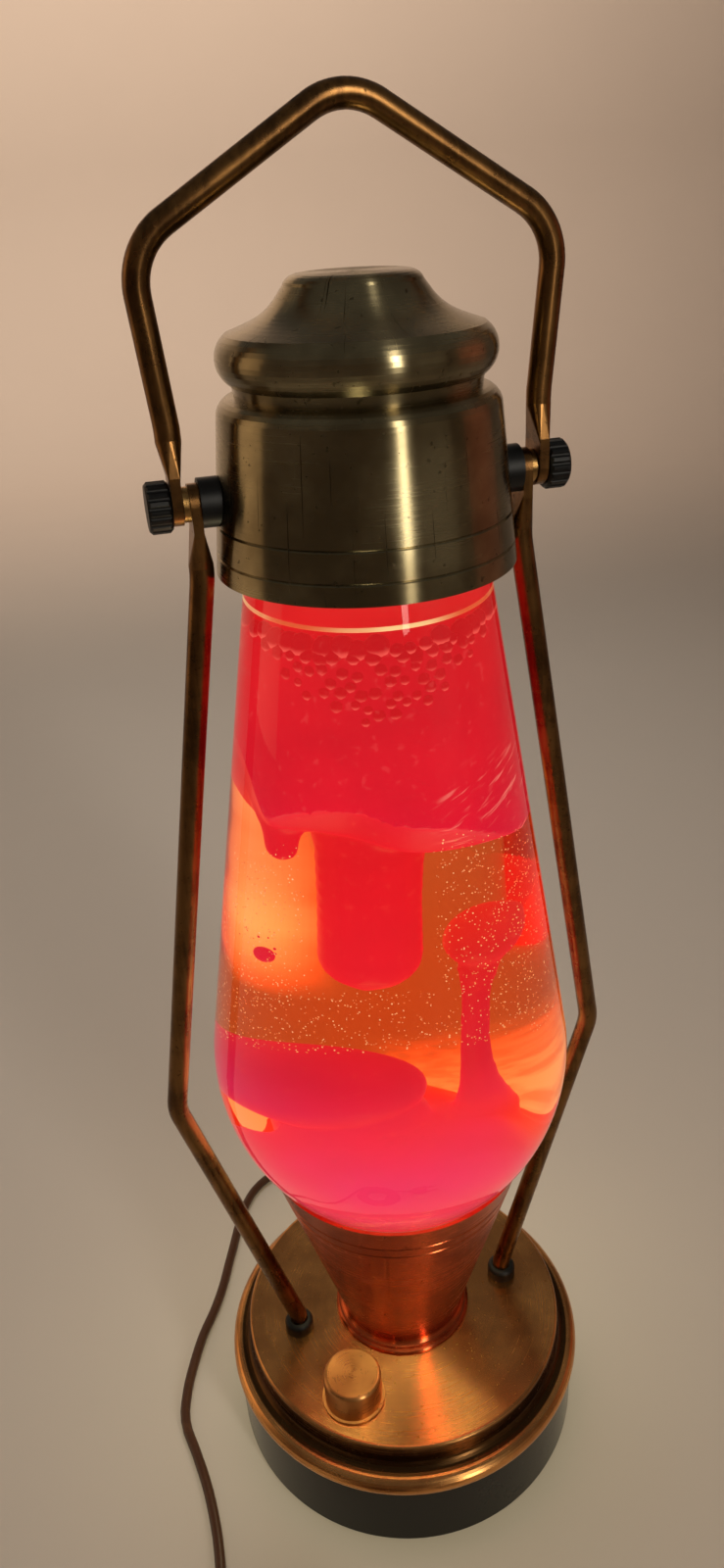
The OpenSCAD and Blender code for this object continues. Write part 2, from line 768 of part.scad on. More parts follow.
module lamp_socket() {
    color("ivory")
        translate([0, 0, socket_z])
            difference() {
                cylinder(r = socket_r, h = socket_h);
                translate([0, 0, socket_floor])
                    cylinder(r = bulb_shell_r + fit_gap, h = socket_h);
                translate([0, 0, socket_groove_z])
                    difference() {
                        cylinder(r = socket_r + 1, h = socket_groove_h);
                        translate([0, 0, -1])
                            cylinder(r = socket_r - socket_groove_depth, h = socket_groove_h + 2);
                    }
            }
}

module bulb_shell() {
    color("silver")
        translate([0, 0, socket_z + socket_floor])
            rotate_extrude()
                polygon(concat([[0, 0], [bulb_contact_r, 0]],
                    [for (i = [0:bulb_thread_n]) [bulb_shell_r - (i % 2) * bulb_thread_depth,
                        bulb_contact_h + i * (bulb_shell_h - bulb_contact_h) / (bulb_thread_n + 1)]],
                    [[bulb_shell_r - bulb_thread_depth, bulb_shell_h], [0, bulb_shell_h]]));
}

module bulb_glass() {
    neck = bulb_shell_r - 2 * bulb_thread_depth;
    color("white", 0.6)
        translate([0, 0, bulb_z])
            rotate_extrude()
                polygon(concat([[0, 0], [neck, 0]],
                    bezier([[neck, bulb_neck_l], [neck, 2 * bulb_neck_l], [bulb_r, bulb_swell_z],
                        [bulb_r, bulb_h - bulb_r]], 8),
                    arc([0, bulb_h - bulb_r], bulb_r, 0, 90, 10)));
}

// Dimmer
module at_dimmer() {
    translate([dimmer_x, dimmer_y, 0])
        rotate(knob_angle)
            children();
}

module dimmer_body() {
    color("#2b2b2b")
        at_dimmer()
            difference() {
                union() {
                    translate([-dimmer_w / 2, -dimmer_w / 2, disc_z - plate_t - dimmer_h])
                        cube([dimmer_w, dimmer_w, dimmer_h]);
                    translate([0, 0, disc_z - plate_t])
                        cylinder(r = bush_r, h = plate_t + bush_up);
                }
                translate([0, 0, disc_z - plate_t - dimmer_h + dimmer_floor])
                    cylinder(r = shaft_r + run_gap, h = dimmer_h + plate_t + bush_up);
            }
}

module dimmer_nut() {
    color("silver")
        at_dimmer()
            translate([0, 0, disc_z])
                difference() {
                    cylinder(r = nut_r, h = nut_h, $fn = 6);
                    translate([0, 0, -1])
                        cylinder(r = bush_r + fit_gap, h = nut_h + 2);
                }
}

module dimmer_shaft() {
    low = disc_z - plate_t - dimmer_h + dimmer_floor + side_gap;
    color("silver")
        at_dimmer()
            translate([0, 0, low])
                cylinder(r = shaft_r, h = disc_z + knob_gap + knob_h - knob_top_t - low);
}

module knob() {
    z0 = disc_z + knob_gap;
    cavity_r = knob_r - knob_wall;
    color("#b08d57")
        at_dimmer()
            translate([0, 0, z0])
                difference() {
                    rotate_extrude()
                        polygon(concat(
                            [[0, 0], [knob_flange_r, 0], [knob_flange_r, knob_flange_h],
                                [knob_r, knob_flange_h]],
                            arc([knob_r - knob_round, knob_h - knob_round], knob_round, 0, 90, 6),
                            [[0, knob_h]]));
                    translate([0, 0, -1])
                        difference() {
                            cylinder(r = cavity_r, h = knob_h - knob_top_t + 1);
                            translate([0, 0, 1 + bush_up])
                                cylinder(r = knob_hub_r, h = knob_h);
                        }
                    translate([0, 0, -1])
                        cylinder(r = shaft_r + run_gap, h = knob_h - knob_top_t + 1);
                }
}

// Globe and what is in it
module globe_glass() {
    color("white", 0.35)
        difference() {
            globe_volume(0);
            globe_volume(glass_t);
            translate([0, 0, neck_top - 1])
                cylinder(r = neck_r - glass_t, h = 2);
        }
}

module globe_stopper() {
    color("silver")
        difference() {
            translate([0, 0, neck_top - stopper_skirt])
                cylinder(r = neck_r + fit_gap + stopper_wall, h = stopper_skirt + stopper_wall);
            translate([0, 0, neck_top - stopper_skirt - 1])
                cylinder(r = neck_r + fit_gap, h = stopper_skirt + 1);
        }
}

// Rod with a round lower end, r wide and h long, hanging from its top
module finger(r, h) {
    rotate_extrude()
        polygon(concat([[0, 0], [r, 0]], arc([0, r - h], r, 0, -90, 8)));
}

// Rounded lump of the given half sizes
module lump(at, z, size) {
    translate([at[0], at[1], z])
        rotate(wax_turn)
            scale(size)
                sphere(r = 1);
}

// Space on the far side of a slope that starts at height z, and runs up or down outward
module slope_side(slope, z, up, grow) {
    rotate(slope[0])
        translate([slope[1], 0, z])
            rotate([0, -up * slope[2], 0])
                translate([-globe_r, -2 * globe_r, up > 0 ? -2 * globe_r - grow : grow])
                    cube([5 * globe_r, 4 * globe_r, 2 * globe_r]);
}

module wax_pool_form(grow) {
    difference() {
        cylinder(r = globe_r, h = pool_z + grow);
        slope_side(beach_slope, pool_z, -1, grow);
        lump(hollow_at, pool_z, [hollow_r - grow, hollow_r - grow, hollow_h - grow]);
    }
    lump(mound_at, pool_z + mound_h, [mound_r + grow, mound_d + grow, mound_h + grow]);
    lump(mound_foot_at, pool_z, [for (r = mound_foot_size) r + grow]);
    translate([stem_at[0], stem_at[1], pool_z - stem_sink])
        cylinder(r1 = stem_foot_r + grow, r2 = stem_r + grow, h = stem_foot_h);
    tube_along([for (q = bezier([[stem_at[0], stem_at[1], 0], stem_bend[0], stem_bend[1],
        [riser_at[0], riser_at[1], riser_up]], 10)) [q[0], q[1], pool_z + q[2]]], stem_r + grow, stem_sides);
    lump(riser_at, pool_z + riser_up, [riser_r + grow, riser_r + grow, riser_long * riser_r + grow]);
}

module wax_pool() {
    color("#e5203a")
        intersection() {
            globe_volume(glass_t + wax_gap);
            wax_pool_form(0);
        }
}

module wax_hanging_form(grow) {
    wall = function (z) cone_foot[0] - (z - cone_foot[1]) * tan(globe_taper) - glass_t - wax_film + grow;
    difference() {
        rotate_extrude($fn = 96)
            polygon([[0, mass_z - grow], [wall(mass_z), mass_z - grow], [wall(mass_top), mass_top + grow],
                [0, mass_top + grow]]);
        for (slope = mass_slopes)
            slope_side(slope, mass_z, 1, grow);
    }
    translate([tongue_at[0], tongue_at[1], mass_z + mass_lip])
        finger(tongue_r + grow, tongue_l + mass_lip + grow);
    translate([lobe_at[0], lobe_at[1], mass_z + lobe_root])
        finger(lobe_r + grow, lobe_root + lobe_drop + grow);
}

module wax_hanging() {
    color("#e5203a")
        wax_hanging_form(0);
}

module wax_droplet_form(grow) {
    translate([droplet_at[0], droplet_at[1], pool_z + droplet_up])
        sphere(r = droplet_r + grow);
}

module wax_droplet() {
    color("#e5203a")
        wax_droplet_form(0);
}

module liquid() {
    color("#d98a3d", 0.5)
        difference() {
            intersection() {
                globe_volume(glass_t + fit_gap);
                cylinder(r = globe_r, h = liquid_top);
            }
            wax_pool_form(wax_gap);
            wax_hanging_form(wax_gap);
            wax_droplet_form(wax_gap);
        }
}

// Cap
module cap_pad() {
    color("#1a1a1a")
        translate([0, 0, stopper_top])
            difference() {
                cylinder(r = neck_r, h = pad_t);
                translate([0, 0, -1])
                    cylinder(r = hood_screw_head_r + pad_gap, h = pad_t + 2);
            }
}

function cap_outline(off) =
    concat([[cap_r - off, cap_z]],
        arc([cap_shoulder_r - cap_round, cap_top - cap_round], cap_round - off, 0, 90, 6));
module cap_skirt() {
    color("#a08a55")
        difference() {
            rotate_extrude($fn = 96)
                polygon(concat(cap_outline(0), [[0, cap_top], [0, cap_plate_z], [cap_neck_r, cap_plate_z]],
                    [for (i = [len(cap_outline(cap_t)) - 1:-1:0]) cap_outline(cap_t)[i]]));
            for (h = [cap_line_1, cap_line_2])
                engraved_line(cap_r - cap_slope * h, cap_z + h);
            translate([0, 0, pivot_z])
                rotate([0, 90, 0])
                    cylinder(r = hole_r, h = 2 * cap_r + 2, center = true);
            translate([0, 0, cap_plate_z - 1])
                cylinder(r = hood_screw_r + fit_gap, h = cap_t + 2);
        }
}

function hood_outline(off) =
    let (brim_c = [brim_r - brim_roll, cap_top + brim_up], roll = brim_roll - off, top = cap_top + hood_h,
        foot = crown_r + crown_foot - off)
    concat(
        arc(brim_c, roll, brim_from, brim_to, 10),
        bezier([brim_c + roll * [cos(brim_leave), sin(brim_leave)], brim_c + [-brim_lean, brim_sag - off],
            [crown_r + crown_lean - off, top - brim_up], [foot, top - crown_drop]], 10),
        bezier([[foot - 0.3 * crown_drop, top - 0.6 * crown_drop],
            [foot - 0.4 * crown_drop, top - 0.3 * crown_drop - off],
            [crown_r + cap_t / 2, top - off], [crown_r - cap_t, top - off]], 5));
module cap_hood() {
    out = hood_outline(0);
    in = hood_outline(cap_t);
    color("#a08a55")
        difference() {
            union() {
                rotate_extrude($fn = 96)
                    polygon(concat([[waist_r, cap_top]], out,
                        [[0, cap_top + hood_h], [0, cap_top + hood_h - cap_t]],
                        [for (i = [len(in) - 1:-1:0]) in[i]], [[waist_r - cap_t, cap_top]]));
                translate([0, 0, cap_top])
                    cylinder(r = hood_boss_r, h = hood_h - cap_t / 2);
            }
            translate([0, 0, cap_top - 1])
                cylinder(r = hood_screw_r + fit_gap, h = hood_screw_l + 1);
        }
}

module hood_screw() {
    color("silver") {
        translate([0, 0, cap_plate_z])
            cylinder(r = hood_screw_r, h = cap_t + hood_screw_l - 1);
        translate([0, 0, cap_plate_z - hood_screw_head_h])
            cylinder(r = hood_screw_head_r, h = hood_screw_head_h);
    }
}

// Pivots
module on_side(side) {
    translate([0, 0, pivot_z])
        rotate([0, side * 90, 0])
            children();
}

module pivot_boss(side) {
    color("#161616")
        difference() {
            on_side(side)
                cylinder(r = boss_r, h = boss_end);
            rotate_extrude($fn = 96)
                polygon([[0, cap_z], [cap_r + fit_gap, cap_z],
                    [cap_shoulder_r + fit_gap, cap_top - cap_round], [0, cap_top - cap_round]]);
            on_side(side)
                cylinder(r = hole_r, h = boss_end + 1);
        }
}

module pivot_washer(side) {
    color("silver")
        on_side(side)
            translate([0, 0, washer_x])
                difference() {
                    cylinder(r = washer_r, h = washer_t);
                    translate([0, 0, -1])
                        cylinder(r = hole_r, h = washer_t + 2);
                }
}

module thumb_screw(side) {
    bevel = 0.7;
    color("#161616")
        on_side(side) {
            translate([0, 0, shank_end])
                cylinder(r = screw_r, h = head_x - shank_end + 1);
            difference() {
                translate([0, 0, head_x])
                    rotate_extrude()
                        polygon([[0, 0], [screw_head_r - bevel, 0], [screw_head_r, bevel],
                            [screw_head_r, screw_head_t - bevel], [screw_head_r - bevel, screw_head_t],
                            [0, screw_head_t]]);
                for (i = [0:flute_n - 1])
                    rotate(i * 360 / flute_n)
                        translate([screw_head_r + flute_r / 2, 0, head_x - 1])
                            cylinder(r = flute_r, h = screw_head_t + 2, $fn = 16);
            }
        }
}

module pivot_nut(side) {
    color("silver")
        on_side(side)
            translate([0, 0, nut_seat - pivot_nut_t])
                difference() {
                    cylinder(r = pivot_nut_r, h = pivot_nut_t, $fn = 6);
                    translate([0, 0, -1])
                        cylinder(r = screw_r + run_gap, h = pivot_nut_t + 2);
                }
}

// Side rods
module rod(side) {
    color("#8a6a3c")
        mirror([side < 0 ? 1 : 0, 0, 0]) {
            bent_rod(
                [[rod_foot_x, disc_z + weld_l], [rod_foot_x, disc_z + ferrule_h + rod_foot_up],
                    [rod_bend_x, rod_bend_z], [rod_flat_x, rod_neck_z - neck_straight],
                    [rod_flat_x, rod_neck_z]],
                rod_d, [0, rod_foot_bend_r, rod_bend_r, neck_bend_r, 0]);
            flattened_end(rod_flat_x, rod_d, -1);
            translate([rod_foot_x, 0, disc_z - plate_t - stud_l])
                cylinder(r = stud_r, h = stud_l + plate_t + weld_l);
        }
}

module rod_ferrule(side) {
    color("#161616")
        translate([side * rod_foot_x, 0, disc_z])
            rotate_extrude()
                polygon(concat([[rod_d / 2 + fit_gap, 0], [ferrule_r, 0]],
                    arc([ferrule_r - ferrule_round, ferrule_h - ferrule_round], ferrule_round, 0, 90, 5),
                    [[rod_d / 2 + fit_gap, ferrule_h]]));
}

module rod_nut(side) {
    color("silver")
        translate([side * rod_foot_x, 0, disc_z - plate_t - rod_nut_h])
            difference() {
                cylinder(r = rod_nut_r, h = rod_nut_h, $fn = 6);
                translate([0, 0, -1])
                    cylinder(r = stud_r + fit_gap, h = rod_nut_h + 2);
            }
}

// Handle
module handle() {
    peak = [0, pivot_z + handle_peak_up];
    shoulder = pivot_z + handle_shoulder_up;
    neck = handle_neck_z + neck_straight;
    color("#7d5f35") {
        bent_rod(
            [[-handle_flat_x, handle_neck_z], [-handle_flat_x, neck], [-handle_half_w, shoulder], peak,
                [handle_half_w, shoulder], [handle_flat_x, neck], [handle_flat_x, handle_neck_z]],
            handle_d, [0, neck_bend_r, handle_bend_r, handle_bend_r, handle_bend_r, neck_bend_r, 0]);
        for (side = [-1, 1])
            flattened_end(side * handle_flat_x, handle_d, 1);
    }
}

// Cord
module strain_relief() {
    color("#161616")
        translate([0, plinth_r, relief_z])
            rotate([-90, 0, 0])
                rotate_extrude()
                    polygon([[0, -plinth_wall - relief_inner_l], [relief_r, -plinth_wall - relief_inner_l],
                        [relief_r, 0], [relief_flange_r, relief_edge / 2], [relief_flange_r, relief_flange_t],
                        [relief_r, relief_flange_t + relief_edge], [relief_tip_r, relief_l - relief_edge],
                        [relief_tip_r - relief_edge, relief_l], [0, relief_l]]);
}

module power_cord() {
    color("#4a2c17")
        tube_along(cord_route, cord_r, cord_sides);
}

// Coil: winds in and out layer by layer from the top, with a half turn between layers
layer_climb = 0.5;
layer_turns = coil_turns + layer_climb;
coil_total = coil_layers * coil_turns + (coil_layers - 1) * layer_climb;
function coil_r(u) =
    let (k = floor(u / layer_turns), v = u - k * layer_turns, w = min(v, coil_turns) * coil_pitch)
    k % 2 == 0 ? coil_out_r - w : coil_in_r + w;
function coil_z(u) =
    let (k = floor(u / layer_turns), v = u - k * layer_turns)
    coil_top_z - coil_step * (k + max(0, v - coil_turns) / layer_climb);
function coil_point(u) =
    let (a = 180 + 360 * u, r = coil_r(u)) [coil_x + r * cos(a), coil_y + r * sin(a), coil_z(u)];
coil_steps = round(coil_total * coil_rings);
coil_turn_points = [for (i = [0:coil_steps]) coil_point(coil_total * i / coil_steps)];
coil_end = coil_turn_points[coil_steps];
coil_route = concat(
    [[coil_x - coil_out_r, coil_y + cord_d, coil_top_z]],
    coil_turn_points,
    [for (i = [1:4]) [coil_end[0] + i * (plug_x - cord_d - coil_end[0]) / 4, plug_y,
        coil_low_z + (plug_h / 2 - coil_low_z) * (1 - cos(180 * i / 4)) / 2]],
    [[plug_x, plug_y, plug_h / 2]]);
coil_gap = min([for (i = [0:coil_steps], j = [i + coil_rings / 2:coil_steps])
    norm(coil_turn_points[i] - coil_turn_points[j])]) - cord_d;
route_length = function (p) norm_sum(p, len(p) - 1);
function norm_sum(p, i) = i == 0 ? 0 : norm(p[i] - p[i - 1]) + norm_sum(p, i - 1);
echo(coil_least_gap = coil_gap, cord_length = route_length(cord_route) + route_length(coil_route));

module cord_coil() {
    color("#4a2c17")
        tube_along(coil_route, cord_r, coil_sides);
}

module cord_tie() {
    near_r = (coil_in_r - cord_r) * cos(180 / coil_rings);
    in_x = sqrt(pow(near_r, 2) - pow(tie_w / 2, 2)) - tie_gap;
    in_w = coil_out_r + cord_r + tie_gap - in_x;
    in_h = coil_top_z + cord_r - coil_low_z + cord_r + 2 * tie_gap;
    low = coil_low_z - cord_r - tie_gap;
    color("#161616")
        translate([coil_x + in_x, coil_y - tie_w / 2, low])
            difference() {
                translate([-tie_t, 0, -tie_t])
                    cube([in_w + 2 * tie_t, tie_w, in_h + 2 * tie_t]);
                translate([0, -1, 0])
                    cube([in_w, tie_w + 2, in_h]);
            }
}

module plug_body() {
    color("#161616")
        translate([plug_x, plug_y, plug_h / 2])
            difference() {
                union() {
                    intersection() {
                        translate([plug_tip, -plug_w / 2, -plug_h / 2])
                            cube([plug_l - plug_tip, plug_w, plug_h]);
                        rotate([0, 90, 0])
                            cylinder(r1 = plug_w / 2 - plug_waist, r2 = plug_w / 2 + plug_flare, h = plug_l);
                    }
                    rotate([0, 90, 0])
                        cylinder(r1 = cord_r + plug_tip_wall, r2 = (plug_h - plug_tip_wall) / 2,
                            h = plug_tip + plug_overlap);
                }
                for (side = [-1, 1])
                    translate([plug_l - blade_root, (side * blade_pitch - blade_t) / 2 - fit_gap,
                        -blade_w / 2 - fit_gap])
                        cube([blade_root + 1, blade_t + 2 * fit_gap, blade_w + 2 * fit_gap]);
            }
}

module plug_blade(side) {
    color("silver")
        translate([plug_x + plug_l - blade_root, plug_y + (side * blade_pitch - blade_t) / 2,
            (plug_h - blade_w) / 2])
            difference() {
                cube([blade_root + blade_l, blade_t, blade_w]);
                translate([blade_l, -1, blade_w / 2])
                    rotate([-90, 0, 0])
                        cylinder(r = blade_hole_r, h = blade_t + 2, $fn = 24);
            }
}

plinth_shell();
bottom_cover();
foot(0);  // foot_1
foot(1);  // foot_2
foot(2);  // foot_3
foot(3);  // foot_4
tie_screw(0);  // tie_screw_1
tie_screw(1);  // tie_screw_2
tie_screw(2);  // tie_screw_3
base_plate();
collar();
collar_ring();
globe_gasket();
socket_bracket();
bracket_screw(-1);  // bracket_screw_1
bracket_screw(1);  // bracket_screw_2
lamp_socket();
bulb_shell();
bulb_glass();
dimmer_body();
dimmer_nut();
dimmer_shaft();
knob();
globe_glass();
globe_stopper();
liquid();
wax_pool();
wax_hanging();
wax_droplet();
cap_pad();
cap_skirt();
cap_hood();
hood_screw();
pivot_boss(-1);  // pivot_boss_left
pivot_boss(1);  // pivot_boss_right
rod(-1);  // rod_left
rod(1);  // rod_right
rod_ferrule(-1);  // rod_ferrule_left
rod_ferrule(1);  // rod_ferrule_right
rod_nut(-1);  // rod_nut_left
rod_nut(1);  // rod_nut_right
pivot_washer(-1);  // pivot_washer_left
pivot_washer(1);  // pivot_washer_right
thumb_screw(-1);  // thumb_screw_left
thumb_screw(1);  // thumb_screw_right
pivot_nut(-1);  // pivot_nut_left
pivot_nut(1);  // pivot_nut_right
handle();
strain_relief();
power_cord();
cord_coil();
cord_tie();
plug_body();
plug_blade(-1);  // plug_blade_1
plug_blade(1);  // plug_blade_2
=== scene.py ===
"""Lantern-style liquid motion lamp: finishes, liquid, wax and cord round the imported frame.

Every size is in metres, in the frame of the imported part: +Z up, the origin on the table under the
globe's axis, X along the handle's pivots and the front towards -Y.
"""
from __future__ import annotations

import logging
import math
import random
from dataclasses import dataclass
from enum import Enum
from typing import Any, Callable, Union

import bmesh
import bpy
from mathutils import Matrix, Vector

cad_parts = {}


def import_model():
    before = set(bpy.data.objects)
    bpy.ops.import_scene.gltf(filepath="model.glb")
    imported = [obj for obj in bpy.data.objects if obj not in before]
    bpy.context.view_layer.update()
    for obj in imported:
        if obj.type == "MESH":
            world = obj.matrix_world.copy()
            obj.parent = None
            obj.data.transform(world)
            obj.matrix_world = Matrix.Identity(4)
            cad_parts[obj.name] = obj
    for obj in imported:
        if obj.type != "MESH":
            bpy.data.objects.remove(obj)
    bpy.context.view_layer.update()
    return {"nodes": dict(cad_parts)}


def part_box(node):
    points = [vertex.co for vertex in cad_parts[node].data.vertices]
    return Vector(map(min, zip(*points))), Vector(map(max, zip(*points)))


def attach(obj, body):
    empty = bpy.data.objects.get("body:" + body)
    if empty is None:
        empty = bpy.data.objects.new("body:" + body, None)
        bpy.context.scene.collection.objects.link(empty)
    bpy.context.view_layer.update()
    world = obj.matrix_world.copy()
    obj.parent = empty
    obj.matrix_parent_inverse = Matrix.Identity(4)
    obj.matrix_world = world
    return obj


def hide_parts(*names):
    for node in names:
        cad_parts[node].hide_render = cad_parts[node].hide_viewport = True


LOG = logging.getLogger("motion_lamp")

MM = 0.001
PHOTO_SIZE = (739, 1600)
# Turn of the view round the globe's axis, from straight ahead.
VIEW_TURN = math.radians(13.6)

Colour = tuple[float, float, float, float]
Point = tuple[float, float, float]
Stops = tuple[tuple[float, Colour], ...]
Outline = list[tuple[float, float]]
Span = tuple[float, float]
Strand = tuple[tuple[float, float, float, float], ...]
Lumps = tuple[tuple[Point, Point], ...]


def srgb(red: int, green: int, blue: int) -> Colour:
    """Turns a display colour into the linear one that the shaders use.

    Args:
        red: Red, from 0 to 255.
        green: Green, from 0 to 255.
        blue: Blue, from 0 to 255.

    Returns:
        The linear colour with full alpha.
    """
    def linear(step: int) -> float:
        """One channel of the colour."""
        share = step / 255
        return share / 12.92 if share <= 0.04045 else ((share + 0.055) / 1.055) ** 2.4

    return (linear(red), linear(green), linear(blue), 1.0)


class Slot(Enum):
    """Material slots of the record."""

    CORD = "cord"
    GLASS = "globe_glass"
    LIQUID = "liquid"
    WAX = "wax"


class Body(Enum):
    """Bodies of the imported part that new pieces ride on."""

    LAMP = "lamp"


def math_operator(operation: str, swapped: bool = False) -> Callable[["Field", "Operand"], "Field"]:
    """Makes the method of one operator.

    Args:
        operation: The Math node's operation.
        swapped: Whether the operands change places, for a number on the left.

    Returns:
        The method.
    """
    def apply(self: "Field", other: "Operand") -> "Field":
        """Adds a Math node for the operation."""
        pair = (other, self) if swapped else (self, other)
        return self.surface.node("ShaderNodeMath", {"operation": operation}, dict(enumerate(pair)))

    return apply


class Field:
    """A value that changes over a surface: a socket that takes part in arithmetic."""

    __add__ = math_operator("ADD")
    __radd__ = math_operator("ADD", swapped=True)
    __sub__ = math_operator("SUBTRACT")
    __rsub__ = math_operator("SUBTRACT", swapped=True)
    __mul__ = math_operator("MULTIPLY")
    __rmul__ = math_operator("MULTIPLY", swapped=True)
    __truediv__ = math_operator("DIVIDE")
    __pow__ = math_operator("POWER")
    # Angle of the direction with this value along Y and the other along X.
    angle_from = math_operator("ARCTAN2")
    larger = math_operator("MAXIMUM")

    def __init__(self, surface: "Surface", socket: bpy.types.NodeSocket | None) -> None:
        """Wraps one output socket of a surface's node tree."""
        self.surface = surface
        self.socket = socket

    def rise(self, low: float, high: float) -> "Field":
        """Smooth step from 0 at low to 1 at high."""
        return self.surface.node(
            "ShaderNodeMapRange",
            {"interpolation_type": "SMOOTHSTEP"},
            {"Value": self, "From Min": low, "From Max": high},
        )

    def hump(self, low: float, high: float, edge: float) -> "Field":
        """Plateau of 1 from low to high, with soft edges outside it."""
        return self.rise(low - edge, low) * (1 - self.rise(high, high + edge))


Operand = Union[Field, float]


class Surface:
    """The node tree of one finish."""

    # Numbers of the Mix node's sockets for colours, because other sockets have the same names.
    MIX_SHARE = 0
    MIX_LOW = 6
    MIX_HIGH = 7
    MIX_RESULT = 2

    def __init__(self, name: str) -> None:
        """Makes an empty material of that name."""
        self.material = bpy.data.materials.new(name)
        self.material.use_nodes = True
        self.tree = self.material.node_tree
        self.tree.nodes.clear()

    def node(
        self,
        kind: str,
        settings: dict[str, Any] | None = None,
        sockets: dict[Union[str, int], Any] | None = None,
        output: Union[str, int] = 0,
    ) -> Field:
        """Adds one node.

        Args:
            kind: The node's type.
            settings: Its properties, and a ramp's stops under the name stops. They are set first.
            sockets: Values or links of its inputs, by name or number.
            output: The output that is wanted, by name or number.

        Returns:
            The wanted output, or an empty one for a node without outputs.
        """
        made = self.tree.nodes.new(kind)
        for name, value in (settings or {}).items():
            if name == "stops":
                self._set_stops(made.color_ramp, value)
            else:
                setattr(made, name, value)
        for name, value in (sockets or {}).items():
            if isinstance(value, Field):
                self.tree.links.new(value.socket, made.inputs[name])
            else:
                made.inputs[name].default_value = value
        return Field(self, made.outputs[output] if made.outputs else None)

    @staticmethod
    def _set_stops(ramp: bpy.types.ColorRamp, stops: Stops) -> None:
        """Gives a colour ramp its stops, from low to high.

        Args:
            ramp: The ramp.
            stops: Position and colour of each stop.
        """
        while len(ramp.elements) < len(stops):
            ramp.elements.new(1.0)
        for element, (position, colour) in zip(ramp.elements, stops):
            element.position = position
            element.color = colour

    def place(self) -> Field:
        """Place of a point of the surface, in the object's own frame."""
        return self.node("ShaderNodeTexCoord", output="Object")

    def axes(self, vector: Field) -> tuple[Field, ...]:
        """The three parts of a vector."""
        made = self.node("ShaderNodeSeparateXYZ", sockets={0: vector})
        return tuple(Field(self, part) for part in made.socket.node.outputs)

    def vector(self, x: Operand, y: Operand, z: Operand) -> Field:
        """A vector from its three parts."""
        return self.node("ShaderNodeCombineXYZ", sockets={"X": x, "Y": y, "Z": z})

    def noise(self, vector: Field, scale: float, detail: float = 2.0, roughness: float = 0.5) -> Field:
        """Soft noise round 0.5."""
        return self.node(
            "ShaderNodeTexNoise",
            sockets={"Vector": vector, "Scale": scale, "Detail": detail, "Roughness": roughness},
        )

    def mix(self, share: Operand, low: Any, high: Any, blend: str = "MIX") -> Field:
        """Blend of two colours."""
        settings = {"data_type": "RGBA", "blend_type": blend}
        sockets = {self.MIX_SHARE: share, self.MIX_LOW: low, self.MIX_HIGH: high}
        return self.node("ShaderNodeMix", settings, sockets, self.MIX_RESULT)

    def ramp(self, value: Operand, stops: Stops) -> Field:
        """Colour of a value on a ramp of stops, from low to high."""
        return self.node("ShaderNodeValToRGB", {"stops": stops}, {0: value})

    def bump(self, height: Field, strength: float, distance: float) -> Field:
        """Normal of a surface with small relief."""
        sockets = {"Height": height, "Strength": strength, "Distance": distance}
        return self.node("ShaderNodeBump", sockets=sockets)

    def principled(self, **sockets: Any) -> Field:
        """Principled shader, with underscores for the spaces in its sockets' names."""
        named = {name.replace("_", " "): value for name, value in sockets.items()}
        return self.node("ShaderNodeBsdfPrincipled", sockets=named)

    def film(self, colour: Colour, strength: float, cover: Field) -> Field:
        """Shader of a film that only glows, and lets through what it doesn't cover."""
        return self.principled(
            Base_Color=(0.0, 0.0, 0.0, 1.0), Roughness=0.1, Specular_IOR_Level=0.0,
            Emission_Color=colour, Emission_Strength=strength, Alpha=cover,
        )


@dataclass(frozen=True)
class Finish:
    """A finish that pieces are dressed in."""

    name: str

    def shader(self, surface: Surface) -> Field:
        """Builds the shader of the surface.

        Args:
            surface: The node tree that it is built in.

        Returns:
            The shader.
        """
        raise NotImplementedError

    def inside(self, surface: Surface) -> Field | None:
        """Builds the shader of the inside, where the finish has one."""
        return None

    def build(self) -> bpy.types.Material:
        """Builds the material.

        Returns:
            The material, with its shaders connected.
        """
        surface = Surface(self.name)
        shaders = {"Surface": self.shader(surface), "Volume": self.inside(surface)}
        linked = {name: shader for name, shader in shaders.items() if shader is not None}
        surface.node("ShaderNodeOutputMaterial", sockets=linked)
        return surface.material


